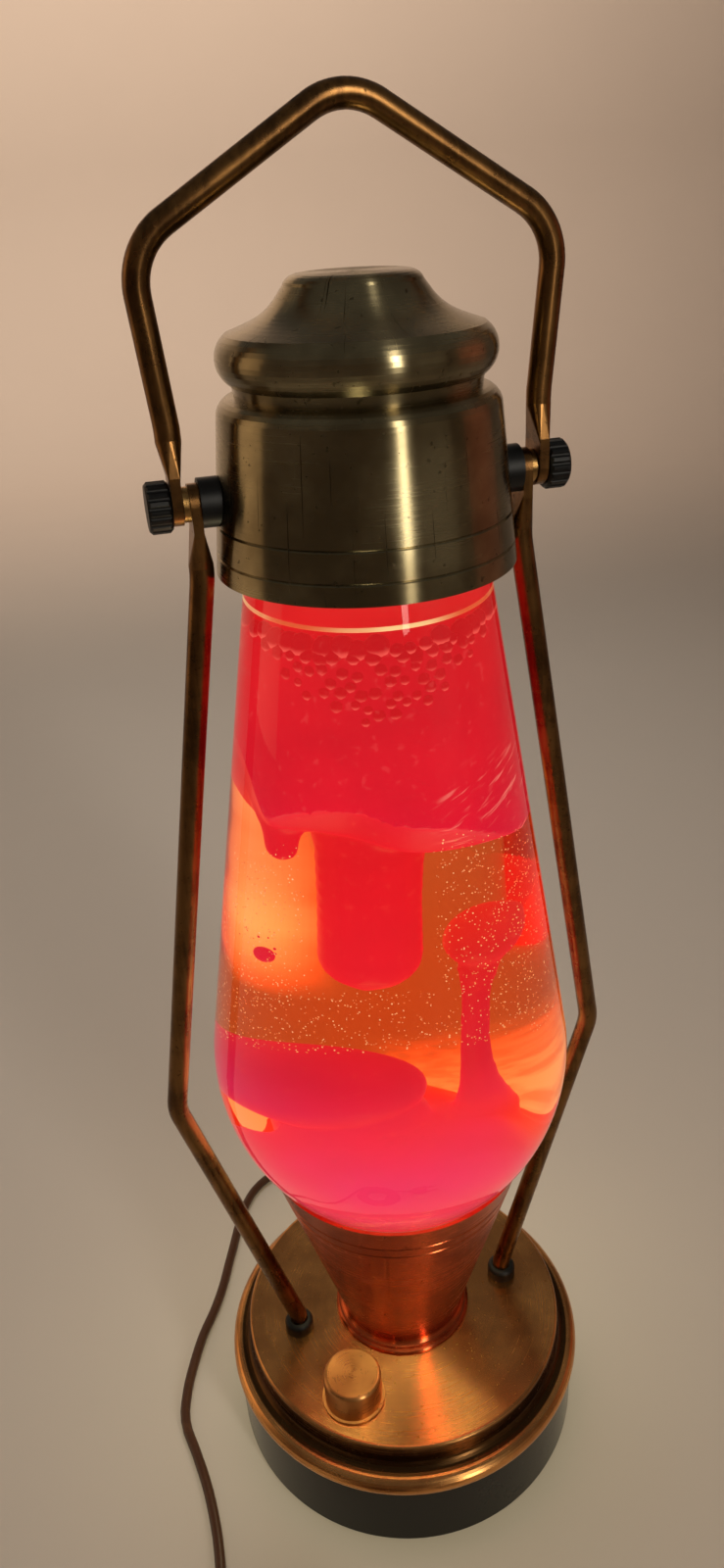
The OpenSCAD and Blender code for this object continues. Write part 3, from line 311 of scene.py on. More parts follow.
@dataclass(frozen=True)
class TurnedBrass(Finish):
    """Antique brass turned on a lathe: rings round an upright axis, a patina, small scratches and a
    painted shade in a band round the axis.
    """

    tone: Colour
    patina: Colour
    roughness: float
    centre: tuple[float, float] = (0.0, 0.0)
    anisotropy: float = 0.65
    quarter_turn: float = 0.25
    ring_pitch: float = 0.55 * MM
    groove_scale: float = 900.0
    cloud_scale: float = 38.0
    spot_scale: float = 620.0
    scratches: float = 0.0
    relief: float = 0.10
    relief_depth: float = 0.12 * MM
    # Radii of a band painted dark: painted shade standing in for the dark that the base's cove
    # reflects. The default band lies at no radius.
    painted_cove_shade_span: Span = (-2 * MM, -1 * MM)
    painted_cove_shade_edge: float = 0.5 * MM
    # Colour of the dirt marks, and of the painted shade in the band.
    dirt: Colour = srgb(40, 28, 16)

    def shader(self, surface: Surface) -> Field:
        """Builds the shader of the surface."""
        place = surface.place()
        x, y, z = surface.axes(place)
        x = x - self.centre[0]
        y = y - self.centre[1]
        radius = (x * x + y * y) ** 0.5
        around = y.angle_from(x)
        turned = surface.vector(radius / self.ring_pitch, z / self.ring_pitch, around * 0.8)
        rings = surface.noise(turned, 1.0, 3.0, 0.6)
        grooved = surface.vector(radius * self.groove_scale, z * self.groove_scale, around * 0.3)
        grooves = surface.noise(grooved, 1.0, 1.0)
        cloud = surface.noise(place, self.cloud_scale, 4.0, 0.6)
        spots = surface.noise(place, self.spot_scale, 2.0).rise(0.67, 0.74)
        upright = surface.noise(surface.vector(around * 55, z * 22, radius * 30), 1.0, 1.0)
        upright = upright.rise(0.71, 0.75)
        marks = (spots * 0.45).larger(upright * self.scratches)
        # Painted shade: the band between these radii is darkened to the dirt colour, standing in for
        # the dark that the cove reflects.
        painted_cove_shade = radius.hump(*self.painted_cove_shade_span, self.painted_cove_shade_edge) * 0.9
        tint = surface.mix(cloud.rise(0.34, 0.66), self.patina, self.tone)
        tint = surface.mix(marks.larger(painted_cove_shade), tint, self.dirt)
        rough = self.roughness + (rings - 0.5) * 0.16 + (cloud - 0.5) * 0.14 + marks * 0.25
        height = rings * 0.7 + grooves * 0.5 - marks * 0.6
        return surface.principled(
            Base_Color=tint, Metallic=1.0, Roughness=rough, Anisotropic=self.anisotropy,
            Anisotropic_Rotation=self.quarter_turn,
            Normal=surface.bump(height, self.relief, self.relief_depth),
        )


@dataclass(frozen=True)
class DrawnBrass(Finish):
    """Dark drawn brass of the rods and handle: patchy lacquer with streaks along the rod."""

    tone: Colour
    patina: Colour
    roughness: float
    streak_scale: tuple[float, float] = (700.0, 30.0)
    cloud_scale: float = 60.0
    pit_scale: float = 900.0
    relief: float = 0.10
    relief_depth: float = 0.15 * MM
    dirt: Colour = srgb(34, 22, 12)

    def shader(self, surface: Surface) -> Field:
        """Builds the shader of the surface."""
        place = surface.place()
        x, y, z = surface.axes(place)
        wide, tall = self.streak_scale
        streaks = surface.noise(surface.vector(x * wide, y * wide, z * tall), 1.0, 2.0)
        cloud = surface.noise(place, self.cloud_scale, 4.0, 0.62)
        pits = surface.noise(place, self.pit_scale, 1.0).rise(0.68, 0.76)
        tint = surface.mix((cloud * 0.7 + streaks * 0.3).rise(0.36, 0.62), self.patina, self.tone)
        tint = surface.mix(pits * 0.5, tint, self.dirt)
        height = streaks * 0.6 + cloud * 0.6 - pits * 0.5
        return surface.principled(
            Base_Color=tint, Metallic=1.0,
            Roughness=self.roughness + (cloud - 0.5) * 0.22 + pits * 0.2,
            Normal=surface.bump(height, self.relief, self.relief_depth),
        )


@dataclass(frozen=True)
class Moulded(Finish):
    """Plastic, paint, rubber or plated steel: a plain tone with grain, dust and handling marks."""

    tone: Colour
    worn: Colour
    roughness: float
    grain_scale: float = 700.0
    cloud_scale: float = 45.0
    relief: float = 0.10
    relief_depth: float = 0.1 * MM
    metallic: float = 0.0
    coat: float = 0.0
    specular: float = 0.5

    def shader(self, surface: Surface) -> Field:
        """Builds the shader of the surface."""
        place = surface.place()
        grain = surface.noise(place, self.grain_scale, 2.0)
        cloud = surface.noise(place, self.cloud_scale, 4.0, 0.65)
        dust = (cloud * 0.6 + grain * 0.4).rise(0.52, 0.70)
        return surface.principled(
            Base_Color=surface.mix(dust * 0.6, self.tone, self.worn), Metallic=self.metallic,
            Roughness=self.roughness + dust * 0.14 + (grain - 0.5) * 0.08,
            Specular_IOR_Level=self.specular, Coat_Weight=self.coat, Coat_Roughness=0.08,
            Normal=surface.bump(grain, self.relief, self.relief_depth),
        )


@dataclass(frozen=True)
class GlobeGlass(Finish):
    """Clear glass of the globe, which bends light as the liquid behind it does."""

    name: str = "globe_glass_clear"
    ior: float = 1.40
    smear_scale: float = 30.0

    def shader(self, surface: Surface) -> Field:
        """Builds the shader of the surface."""
        smears = surface.noise(surface.place(), self.smear_scale, 4.0, 0.6)
        return surface.principled(
            Base_Color=(1.0, 1.0, 1.0, 1.0), Roughness=0.008 + smears.rise(0.55, 0.8) * 0.02,
            IOR=self.ior, Transmission_Weight=1.0,
        )


@dataclass(frozen=True)
class LampLit:
    """Where the lamp's light gets past the wax and lights up the back of the globe.

    Each span gives where an edge of the light starts and where it is full.
    """

    back_edge: Span = (4 * MM, 16 * MM)
    drift_size: float = 16 * MM
    column_side: Span = (3 * MM, 15.5 * MM)
    column_foot: Span = (158 * MM, 180 * MM)
    column_dims: Span = (186 * MM, 214 * MM)
    column_loss: float = 0.52
    column_top: Span = (232 * MM, 262 * MM)
    beach_way: tuple[float, float] = (0.957, 0.289)
    beach_edge: Span = (21 * MM, 28 * MM)
    beach_top: Span = (128 * MM, 150 * MM)
    notch_way: tuple[float, float] = (0.395, 0.919)
    notch_edge: Span = (26 * MM, 32 * MM)
    notch_side: Span = (10 * MM, 14 * MM)
    notch_top: Span = (132 * MM, 142 * MM)
    notch_share: float = 0.6

    def shine(self, surface: Surface) -> Field:
        """Builds the share of the light at each place.

        Args:
            surface: The node tree that it is built in.

        Returns:
            The share, from 0 to 1.
        """
        x, y, z = surface.axes(surface.place())
        across = x * math.cos(VIEW_TURN) - y * math.sin(VIEW_TURN)
        back = (x * math.sin(VIEW_TURN) + y * math.cos(VIEW_TURN)).rise(*self.back_edge)
        drift = surface.noise(surface.vector(x * 40, y * 40, z * 60), 1.0, 3.0)
        drift = (drift - 0.5) * self.drift_size
        column = (drift * 0.5 - across).rise(*self.column_side)
        column = column * (z + drift * 0.6).rise(*self.column_foot)
        column = column * (1 - self.column_loss * (z + drift * 0.3).rise(*self.column_dims))
        column = column * (1 - (z + drift).rise(*self.column_top))
        beach = x * self.beach_way[0] + y * self.beach_way[1]
        lines = surface.noise(surface.vector(beach * 300, z * 420, 0.0), 1.0, 3.0).rise(0.36, 0.62)
        slope = (beach + drift * 0.5).rise(*self.beach_edge) * (0.34 + 0.34 * lines)
        slope = slope * (1 - (z + drift * 0.6).rise(*self.beach_top))
        notch = (y * self.notch_way[1] - x * self.notch_way[0]).rise(*self.notch_edge)
        notch = notch * (1 - z.rise(*self.notch_top)) * (0 - across).rise(*self.notch_side)
        return column.larger(slope).larger(notch * self.notch_share) * back


@dataclass(frozen=True)
class WettedGlass(Finish):
    """Inner face of the globe: a painted amber glow of the lamp's light where it gets past the wax, and
    unseen elsewhere.
    """

    name: str = "globe_glass_wetted"
    # Colour of the painted glow.
    film: Colour = srgb(246, 122, 50)
    film_edge: Span = (0.0, 0.2)
    cover: float = 0.9

    def shader(self, surface: Surface) -> Field:
        """Builds the shader of the surface."""
        cover = LampLit().shine(surface).rise(*self.film_edge) * self.cover
        return surface.film(self.film, 1.0, cover)


@dataclass(frozen=True)
class AmberLiquid(Finish):
    """Amber liquid, lit by the lamp: a painted glow all through it, and more where the wax lets the
    light past.
    """

    name: str = "amber_liquid"
    tint: Colour = (0.946, 0.538, 0.063, 1.0)
    density: float = 34.0
    glow: Colour = srgb(255, 66, 26)
    glow_strength: float = 3.0
    lamp_light: Colour = (0.84, 0.94, 0.92, 1.0)
    lamp_strength: float = 1.8

    def shader(self, surface: Surface) -> Field:
        """Builds the shader of the surface."""
        return surface.film(self.lamp_light, self.lamp_strength, LampLit().shine(surface))

    def inside(self, surface: Surface) -> Field:
        """Builds the shader of the inside."""
        stain = {"Color": self.tint, "Density": self.density}
        # Painted light: the liquid glows all through, standing in for the bulb's light scattered in it.
        glow = {"Color": self.glow, "Strength": self.glow_strength}
        sockets = {
            0: surface.node("ShaderNodeVolumeAbsorption", sockets=stain),
            1: surface.node("ShaderNodeEmission", sockets=glow),
        }
        return surface.node("ShaderNodeAddShader", sockets=sockets)


@dataclass(frozen=True)
class GlowingWax(Finish):
    """Wax that glows with the lamp's light: its colour follows its height above the lamp, and its
    downward faces are painted in the tone of the light from the bulb below.
    """

    low: float
    high: float
    stops: Stops
    # Tone of faces turned downward: painted light from the bulb below.
    under: Colour
    lit_underside_share: float = 0.6
    lit_underside_edge: Span = (0.05, 0.9)
    streaks: float = 0.0
    streak_tone: Colour = srgb(255, 150, 132)
    streak_side: Span = (10 * MM, 20 * MM)
    streak_heights: Span = (230 * MM, 262 * MM)
    streak_fade: float = 12 * MM
    wall_tone: Colour = srgb(244, 58, 74)
    wall_share: float = 0.0
    wall_edge: Span = (12 * MM, 43 * MM)
    wall_top: Span = (138 * MM, 144 * MM)
    fleck_tone: Colour = srgb(255, 120, 110)
    swirl_scale: float = 26.0
    swirl_size: float = 12 * MM
    grain_scale: float = 420.0
    strength: float = 1.12

    def shader(self, surface: Surface) -> Field:
        """Builds the shader of the surface."""
        place = surface.place()
        x, y, z = surface.axes(place)
        up = surface.axes(surface.node("ShaderNodeNewGeometry", output="Normal"))[2]
        swirl = surface.noise(place, self.swirl_scale, 4.0, 0.55)
        grain = surface.noise(place, self.grain_scale, 2.0)
        level = (z + (swirl - 0.5) * self.swirl_size - self.low) / (self.high - self.low)
        shade = surface.ramp(swirl, ((0.3, srgb(232, 232, 232)), (0.7, srgb(255, 255, 255))))
        tone = surface.mix(1.0, surface.ramp(level, self.stops), shade, "MULTIPLY")
        # Painted light: faces turned downward take the under tone, as lit by the bulb below.
        tone = surface.mix((0 - up).rise(*self.lit_underside_edge) * self.lit_underside_share, tone, self.under)
        fibres = surface.noise(surface.vector(x * 90, y * 90, z * 700 - x * 260), 1.0, 2.0)
        edge = fibres.rise(0.56, 0.70) * (x - y * 0.25).rise(*self.streak_side)
        edge = edge * z.hump(*self.streak_heights, self.streak_fade)
        tone = surface.mix(edge * self.streaks, tone, self.streak_tone)
        wall = ((x * x + y * y) ** 0.5).rise(*self.wall_edge) * (1 - z.rise(*self.wall_top))
        tone = surface.mix(wall * self.wall_share, tone, self.wall_tone)
        tone = surface.mix(grain.rise(0.62, 0.72) * 0.08, tone, self.fleck_tone)
        return surface.principled(
            Base_Color=(0.02, 0.001, 0.001, 1.0), Roughness=0.38, Specular_IOR_Level=0.04,
            Emission_Color=tone, Emission_Strength=self.strength,
            Normal=surface.bump(swirl * 0.8 + grain * 0.2, 0.15, 0.6 * MM),
        )


@dataclass(frozen=True)
class Glint(Finish):
    """Bright specks and edges that catch the lamp's light."""

    dim: Colour
    bright: Colour
    scale: float
    strength: float = 1.0

    def shader(self, surface: Surface) -> Field:
        """Builds the shader of the surface."""
        change = surface.noise(surface.place(), self.scale, 2.0).rise(0.36, 0.64)
        tone = surface.mix(change, self.dim, self.bright)
        return surface.principled(
            Base_Color=(0.05, 0.02, 0.01, 1.0), Roughness=0.3, Emission_Color=tone,
            Emission_Strength=self.strength,
        )


@dataclass(frozen=True)
class FrostedBulb(Finish):
    """Pearl glass of the lamp's bulb, lit."""

    name: str = "bulb_pearl"
    cloud_scale: float = 90.0
    strength: float = 1.6

    def shader(self, surface: Surface) -> Field:
        """Builds the shader of the surface."""
        cloud = surface.noise(surface.place(), self.cloud_scale, 3.0)
        return surface.principled(
            Base_Color=surface.mix(cloud, srgb(246, 236, 214), srgb(255, 248, 232)),
            Roughness=0.45 + cloud * 0.1,
            Emission_Color=surface.mix(cloud, srgb(255, 196, 120), srgb(255, 214, 150)),
            Emission_Strength=self.strength,
        )


@dataclass(frozen=True)
class StudioPaper(Finish):
    """Pale paper of the floor and its sweep."""

    name: str = "studio_paper"
    tone: Colour = srgb(206, 198, 190)
    shade: Colour = srgb(186, 178, 172)
    cloud_scale: float = 9.0
    grain_scale: float = 900.0

    def shader(self, surface: Surface) -> Field:
        """Builds the shader of the surface."""
        cloud = surface.noise(surface.place(), self.cloud_scale, 4.0, 0.6)
        grain = surface.noise(surface.place(), self.grain_scale, 2.0)
        return surface.principled(
            Base_Color=surface.mix(cloud * 0.16, self.tone, self.shade),
            Roughness=0.62 + grain * 0.1, Specular_IOR_Level=0.25,
            Normal=surface.bump(grain, 0.05, 0.1 * MM),
        )


# The base's cove is painted dark: painted shade for the dark that it reflects.
BASE_BRASS = TurnedBrass(
    "base_brass", srgb(232, 166, 98), srgb(192, 130, 76), 0.25,
    anisotropy=0.35, relief=0.06, painted_cove_shade_span=(55.3 * MM, 58.4 * MM),
)
# Painted light: the collar's tone and patina are reddened, standing in for the red glow of the globe
# that falls on it.
RED_LIT_COLLAR_BRASS = TurnedBrass(
    "collar_brass_red_lit", srgb(222, 108, 62), srgb(176, 78, 44), 0.25, anisotropy=0.85, relief=0.03
)
CAP_BRASS = TurnedBrass(
    "cap_brass", srgb(160, 148, 114), srgb(122, 110, 82), 0.25,
    anisotropy=0.95, scratches=0.8, relief=0.06,
)
ROD_BRASS = DrawnBrass("rod_brass", srgb(136, 98, 56), srgb(92, 64, 38), 0.28)
WASHER_BRASS = DrawnBrass("washer_brass", srgb(190, 150, 92), srgb(130, 96, 56), 0.26)
BLACK_GLOSS = Moulded(
    "black_gloss", srgb(6, 6, 7), srgb(16, 15, 14), 0.16, relief=0.03, coat=0.05, specular=0.2
)
BLACK_PLASTIC = Moulded("black_plastic", srgb(15, 15, 15), srgb(40, 38, 36), 0.42)
BLACK_METAL = Moulded("black_metal", srgb(9, 9, 9), srgb(30, 27, 24), 0.42, relief=0.06, specular=0.3)
RUBBER = Moulded("foot_rubber", srgb(18, 18, 18), srgb(42, 40, 38), 0.7, relief=0.2)
GASKET = Moulded("gasket_rubber", srgb(92, 26, 18), srgb(120, 50, 36), 0.6, relief=0.15)
STEEL = Moulded("zinc_steel", srgb(176, 176, 174), srgb(128, 124, 116), 0.28, metallic=1.0, relief=0.05)
PORCELAIN = Moulded(
    "socket_porcelain", srgb(226, 220, 204), srgb(198, 188, 166), 0.22, relief=0.03, coat=0.4
)
BLADE_BRASS = Moulded(
    "blade_brass", srgb(200, 170, 104), srgb(150, 120, 70), 0.24, metallic=1.0, relief=0.05
)
CORD_SHEATH = Moulded("cord_sheath", srgb(70, 40, 22), srgb(104, 66, 40), 0.38, relief=0.08)
WAX_MASS = GlowingWax(
    "wax_mass_glow", 190 * MM, 300 * MM,
    (
        (0.0, srgb(226, 30, 76)), (0.35, srgb(220, 22, 58)),
        (0.7, srgb(220, 24, 42)), (1.0, srgb(216, 28, 36)),
    ),
    srgb(232, 28, 60), 0.15, streaks=0.55,
)
WAX_POOL = GlowingWax(
    "wax_pool_glow", 112 * MM, 212 * MM,
    (
        (0.0, srgb(244, 56, 40)), (0.12, srgb(242, 56, 50)), (0.19, srgb(238, 56, 88)),
        (0.26, srgb(230, 64, 162)), (0.34, srgb(220, 48, 146)), (0.45, srgb(208, 28, 116)),
        (0.8, srgb(210, 32, 70)), (1.0, srgb(220, 50, 56)),
    ),
    srgb(226, 50, 90), 0.4, wall_share=0.9,
)
# The bubbles' downward faces take a painted lighter tone, lit from below.
WAX_FOAM = GlowingWax(
    "wax_foam_glow", 280 * MM, 310 * MM, ((0.0, srgb(210, 24, 32)), (1.0, srgb(196, 26, 30))),
    srgb(240, 88, 78), 0.75, lit_underside_edge=(-0.08, 0.45),
)
SPECK_GLINT = Glint("speck_glint", srgb(226, 116, 66), srgb(255, 196, 140), 900.0)
MENISCUS_GLINT = Glint("meniscus_glint", srgb(226, 90, 50), srgb(255, 206, 140), 34.0)


def add_object(name: str, data: bpy.types.ID) -> bpy.types.Object:
    """Adds an object to the scene.

    Args:
        name: Name of the object.
        data: Its mesh, curve, light or camera.

    Returns:
        The new object.
    """
    made = bpy.data.objects.new(name, data)
    bpy.context.scene.collection.objects.link(made)
    return made


def add_mesh(name: str, shape: bmesh.types.BMesh, finish: Finish) -> bpy.types.Object:
    """Turns a bmesh into a smooth object of the scene.

    Args:
        name: Name of the object.
        shape: Its shape, which is freed.
        finish: Its finish.

    Returns:
        The new object.
    """
    mesh = bpy.data.meshes.new(name)
    for face in shape.faces:
        face.smooth = True
    shape.to_mesh(mesh)
    shape.free()
    mesh.materials.append(finish.build())
    return add_object(name, mesh)


def add_piece(
    name: str, shape: bmesh.types.BMesh, finish: Finish, slot: Slot, *replaced: str
) -> bpy.types.Object:
    """Turns a bmesh into a new piece of the part, which rides on the lamp's fixed body.

    Args:
        name: Name of the piece.
        shape: Its shape, which is freed.
        finish: Its finish.
        slot: The record's slot for the piece. It is not used.
        replaced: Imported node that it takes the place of, if there is one.

    Returns:
        The new piece.
    """
    made = add_mesh(name, shape, finish)
    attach(made, Body.LAMP.value)
    for node in replaced:
        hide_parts(node)
    LOG.info("piece %s: %d faces", name, len(made.data.polygons))
    return made


def melt(made: bpy.types.Object, voxel: float, rounds: int) -> None:
    """Runs the lumps of a piece into one smooth skin.

    Args:
        made: The piece.
        voxel: Size of the steps of the new skin.
        rounds: Number of smoothing rounds.
    """
    skin = made.modifiers.new("skin", "REMESH")
    skin.mode = "VOXEL"
    skin.voxel_size = voxel
    skin.use_smooth_shade = True
    soft = made.modifiers.new("soft", "SMOOTH")
    soft.factor = 0.5
    soft.iterations = rounds


def spin_outline(shape: bmesh.types.BMesh, outline: Outline, steps: int = 72) -> None:
    """Adds a turned form to a bmesh.

    Args:
        shape: The bmesh that the form is added to.
        outline: Radius and height of each point, from one end of the axis to the other.
        steps: Number of steps round the axis.
    """
    first = [shape.verts.new((r, 0, z)) for r, z in outline]
    edges = [shape.edges.new(pair) for pair in zip(first, first[1:])]
    bmesh.ops.spin(
        shape,
        geom=first + edges,
        cent=Vector((0, 0, 0)),
        axis=Vector((0, 0, 1)),
        angle=2 * math.pi,
        steps=steps,
        use_merge=True,
    )
    bmesh.ops.remove_doubles(shape, verts=shape.verts, dist=0.001 * MM)
    bmesh.ops.recalc_face_normals(shape, faces=shape.faces)


def smooth_step(low: float, high: float, value: float) -> float:
    """Smooth step from 0 at low to 1 at high, which may lie either way."""
    share = min(1.0, max(0.0, (value - low) / (high - low)))
    return share * share * (3 - 2 * share)


def arc(centre: tuple[float, float], radius: float, start: float, end: float, steps: int) -> Outline:
    """Points of an arc, with its angles in degrees."""
    angles = [math.radians(start + (end - start) * i / steps) for i in range(steps + 1)]
    return [(centre[0] + radius * math.cos(a), centre[1] + radius * math.sin(a)) for a in angles]


@dataclass(frozen=True)
class Panel:
    """A soft light panel, with a grid that lets its light out in an angle of spread degrees."""

    name: str
    at: Point
    aim: Point
    size: tuple[float, float]
    watts: float
    colour: Colour
    spread: float
    mirrored: bool = True

    def add(self) -> None:
        """Adds the panel to the scene."""
        data = bpy.data.lights.new(self.name, "AREA")
        data.spread = math.radians(self.spread)
        data.shape = "RECTANGLE"
        data.size, data.size_y = self.size
        data.energy = self.watts
        data.color = self.colour[:3]
        light = add_object(self.name, data)
        light.visible_transmission = False
        light.visible_glossy = self.mirrored
        towards = Vector(self.aim) - Vector(self.at)
        turned = towards.to_track_quat("-Z", "Y").to_matrix().to_4x4()
        light.matrix_world = Matrix.Translation(Vector(self.at)) @ turned


LAMP_MIDDLE = (0.0, 0.0, 0.33)
WHITE_LIGHT = srgb(255, 246, 230)
WARM_LIGHT = srgb(255, 214, 170)
RED_LIGHT = srgb(255, 120, 84)
PEACH_LIGHT = srgb(255, 226, 200)
PANELS = (
    Panel("key_strip", (0.30, -1.0, 0.70), LAMP_MIDDLE, (0.12, 0.82), 0.47, WHITE_LIGHT, 50.0),
    Panel("fill_panel", (0.83, -0.86, 0.45), LAMP_MIDDLE, (0.62, 0.9), 0.022, WHITE_LIGHT, 60.0),
    Panel("side_panel", (-1.09, 0.51, 0.50), LAMP_MIDDLE, (0.85, 1.0), 0.36, WARM_LIGHT, 70.0),
    Panel("red_panel", (1.2, 0.0, 0.42), LAMP_MIDDLE, (0.8, 0.8), 0.05, RED_LIGHT, 60.0),
    Panel("overhead", (0.0, 0.42, 1.20), (0.0, 0.38, 0.0), (0.9, 0.9), 1.35, WHITE_LIGHT, 90.0, False),
    Panel("wall_wash", (0.0, 0.75, 1.75), (0.0, 2.0, 0.75), (1.6, 0.3), 13, PEACH_LIGHT, 100.0, False),
)


@dataclass
class Studio:
    """Camera, floor and lights."""

    camera_at: Point = (-0.06833, -0.26420, 0.39774)
    camera_forward: Point = (0.20808, 0.85882, -0.46812)
    camera_roll: float = -0.0559
    focal_pixels: float = 1150.0
    sensor_mm: float = 36.0
    floor_r: float = 1.55
    sweep_r: float = 0.45
    wall_h: float = 1.5
    floor_steps: int = 96
    sweep_steps: int = 12
    glow_watts: float = 0.25
    glow_colour: Colour = srgb(255, 240, 190)
    glow_r: float = 15 * MM
    glow_at: Point = (0.0, 0.0, 125 * MM)
    world_colour: Colour = (1.0, 0.93, 0.86, 1.0)
    world_light: float = 0.12

    def add_camera(self) -> None:
        """Adds the camera at the photograph's viewing angle."""
        data = bpy.data.cameras.new("camera")
        data.sensor_fit = "AUTO"
        data.sensor_width = self.sensor_mm
        data.lens = self.sensor_mm * self.focal_pixels / max(PHOTO_SIZE)
        data.clip_start = 0.01
        forward = Vector(self.camera_forward).normalized()
        level = forward.cross(Vector((0, 0, 1))).normalized()
        upright = level.cross(forward)
        right = math.cos(self.camera_roll) * level + math.sin(self.camera_roll) * upright
        up = -math.sin(self.camera_roll) * level + math.cos(self.camera_roll) * upright
        turned = Matrix((right, up, -forward)).transposed().to_4x4()
        camera = add_object("camera", data)
        camera.matrix_world = Matrix.Translation(Vector(self.camera_at)) @ turned
        bpy.context.scene.camera = camera

    def add_floor(self) -> None:
        """Adds the round pale floor with its swept-up edge."""
        shape = bmesh.new()
        outline = [(0.0, 0.0), (self.floor_r / 2, 0.0)]
        outline += arc((self.floor_r, self.sweep_r), self.sweep_r, -90, 0, self.sweep_steps)
        outline += [(self.floor_r + self.sweep_r, self.wall_h)]
        spin_outline(shape, outline, self.floor_steps)
        bmesh.ops.reverse_faces(shape, faces=shape.faces)
        floor = add_mesh("studio_floor", shape, StudioPaper())

    def add_glow(self) -> None:
        """Adds the light of the lamp's bulb that comes through the wax onto the metal round it."""
        data = bpy.data.lights.new("lamp_glow", "POINT")
        data.energy = self.glow_watts
        data.color = self.glow_colour[:3]
        data.shadow_soft_size = self.glow_r
        data.use_shadow = False
        glow = add_object("lamp_glow", data)
        glow.location = self.glow_at
        glow.visible_camera = False
        glow.visible_transmission = False

    def add_lights(self) -> None:
        """Adds the panels, the lamp's glow and the dim light of the room."""
        for panel in PANELS:
            panel.add()
        self.add_glow()
        world = bpy.data.worlds.new("room")
        world.use_nodes = True
        background = world.node_tree.nodes["Background"]
        background.inputs["Color"].default_value = self.world_colour
        background.inputs["Strength"].default_value = self.world_light
        bpy.context.scene.world = world
        bpy.context.scene.view_settings.view_transform = "Standard"
        bpy.context.scene.view_settings.look = "None"


@dataclass
class PowerCord:
    """The cord from the strain relief to the plug, with the coil of the length that isn't needed."""

    diameter: float = 3.6 * MM
    coil_centre: tuple[float, float] = (-53 * MM, -106 * MM)
    coil_in_r: float = 14.6 * MM
    coil_pitch: float = 4.8 * MM
    coil_step: float = 4.2 * MM
    coil_turns: float = 2.4375
    coil_climb: float = 0.5
    coil_layers: int = 4
    coil_low_z: float = 2.8 * MM
    points_per_turn: int = 24
    tail_points: int = 4
    lead_in_y: float = -99 * MM
    route_mm: tuple[Point, ...] = (
        (0, 82.5, 10), (0, 87, 10), (0, 92, 9.6), (-3, 99, 8.2), (-9, 105, 6.2), (-18, 109, 4.2),
        (-28, 109, 2.6), (-37, 105, 2), (-44, 97, 1.9), (-49, 87, 1.9), (-53, 77, 1.9), (-57, 67, 1.9),
        (-61, 57, 1.9), (-66, 47, 1.9), (-72, 37, 1.9), (-77, 26, 1.9), (-81, 15, 1.9), (-83, 4, 1.9),
        (-81, -8, 1.9), (-79, -20, 1.9), (-78, -32, 1.9), (-78, -44, 1.9), (-79, -55, 2.2),
        (-80, -65, 3.6), (-80, -75, 6.4), (-80, -84, 10), (-79.8, -92, 13),
    )

    @property
    def coil_out_r(self) -> float:
        """Radius of the coil's outermost turn."""
        return self.coil_in_r + self.coil_pitch * self.coil_turns

    @property
    def coil_top_z(self) -> float:
        """Height of the coil's top layer."""
        return self.coil_low_z + (self.coil_layers - 1) * self.coil_step

    def coil_point(self, turns: float) -> Vector:
        """Finds a place on the coil.

        Args:
            turns: Number of turns from the coil's start, at the outside of its top layer.

        Returns:
            The place.
        """
        span = self.coil_turns + self.coil_climb
        layer = math.floor(turns / span)
        within = turns - layer * span
        shift = min(within, self.coil_turns) * self.coil_pitch
        radius = self.coil_out_r - shift if layer % 2 == 0 else self.coil_in_r + shift
        climb = max(0.0, within - self.coil_turns) / self.coil_climb
        height = self.coil_top_z - self.coil_step * (layer + climb)
        angle = math.pi + 2 * math.pi * turns
        x, y = self.coil_centre
        return Vector((x + radius * math.cos(angle), y + radius * math.sin(angle), height))

    def points(self) -> list[Vector]:
        """Lays out the cord.

        Returns:
            Its centreline, from the strain relief's tip to the plug.
        """
        x, y = self.coil_centre
        plug_low, plug_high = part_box("plug_body")
        tip = plug_low.x
        plug_z = (plug_low.z + plug_high.z) / 2
        line = [Vector(point) * MM for point in self.route_mm]
        line.append(Vector((x - self.coil_out_r, self.lead_in_y, self.coil_top_z)))
        line.append(Vector((x - self.coil_out_r, y + self.diameter, self.coil_top_z)))
        total = self.coil_layers * self.coil_turns + (self.coil_layers - 1) * self.coil_climb
        steps = round(total * self.points_per_turn)
        line += [self.coil_point(total * i / steps) for i in range(steps + 1)]
        end = line[-1].copy()
        for i in range(1, self.tail_points + 1):
            share = i / self.tail_points
            lift = (1 - math.cos(math.pi * share)) / 2
            run = end.x + share * (tip - self.diameter - end.x)
            line.append(Vector((run, end.y, self.coil_low_z + (plug_z - self.coil_low_z) * lift)))
        line.append(Vector((tip, end.y, plug_z)))
        return line

    def build(self, nodes: dict[str, bpy.types.Object]) -> None:
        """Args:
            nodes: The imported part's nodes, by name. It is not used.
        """
        line = self.points()
        data = bpy.data.curves.new("cord_lead", "CURVE")
        data.dimensions = "3D"
        data.bevel_depth = self.diameter / 2
        data.bevel_resolution = 3
        data.resolution_u = 3
        data.use_fill_caps = True
        spline = data.splines.new("BEZIER")
        spline.bezier_points.add(len(line) - 1)
        for knot, place in zip(spline.bezier_points, line):
            knot.co = place
            knot.handle_left_type = knot.handle_right_type = "AUTO"
        data.materials.append(CORD_SHEATH.build())
        cord = add_object("cord_lead", data)
        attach(cord, Body.LAMP.value)
        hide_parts("power_cord", "cord_coil")


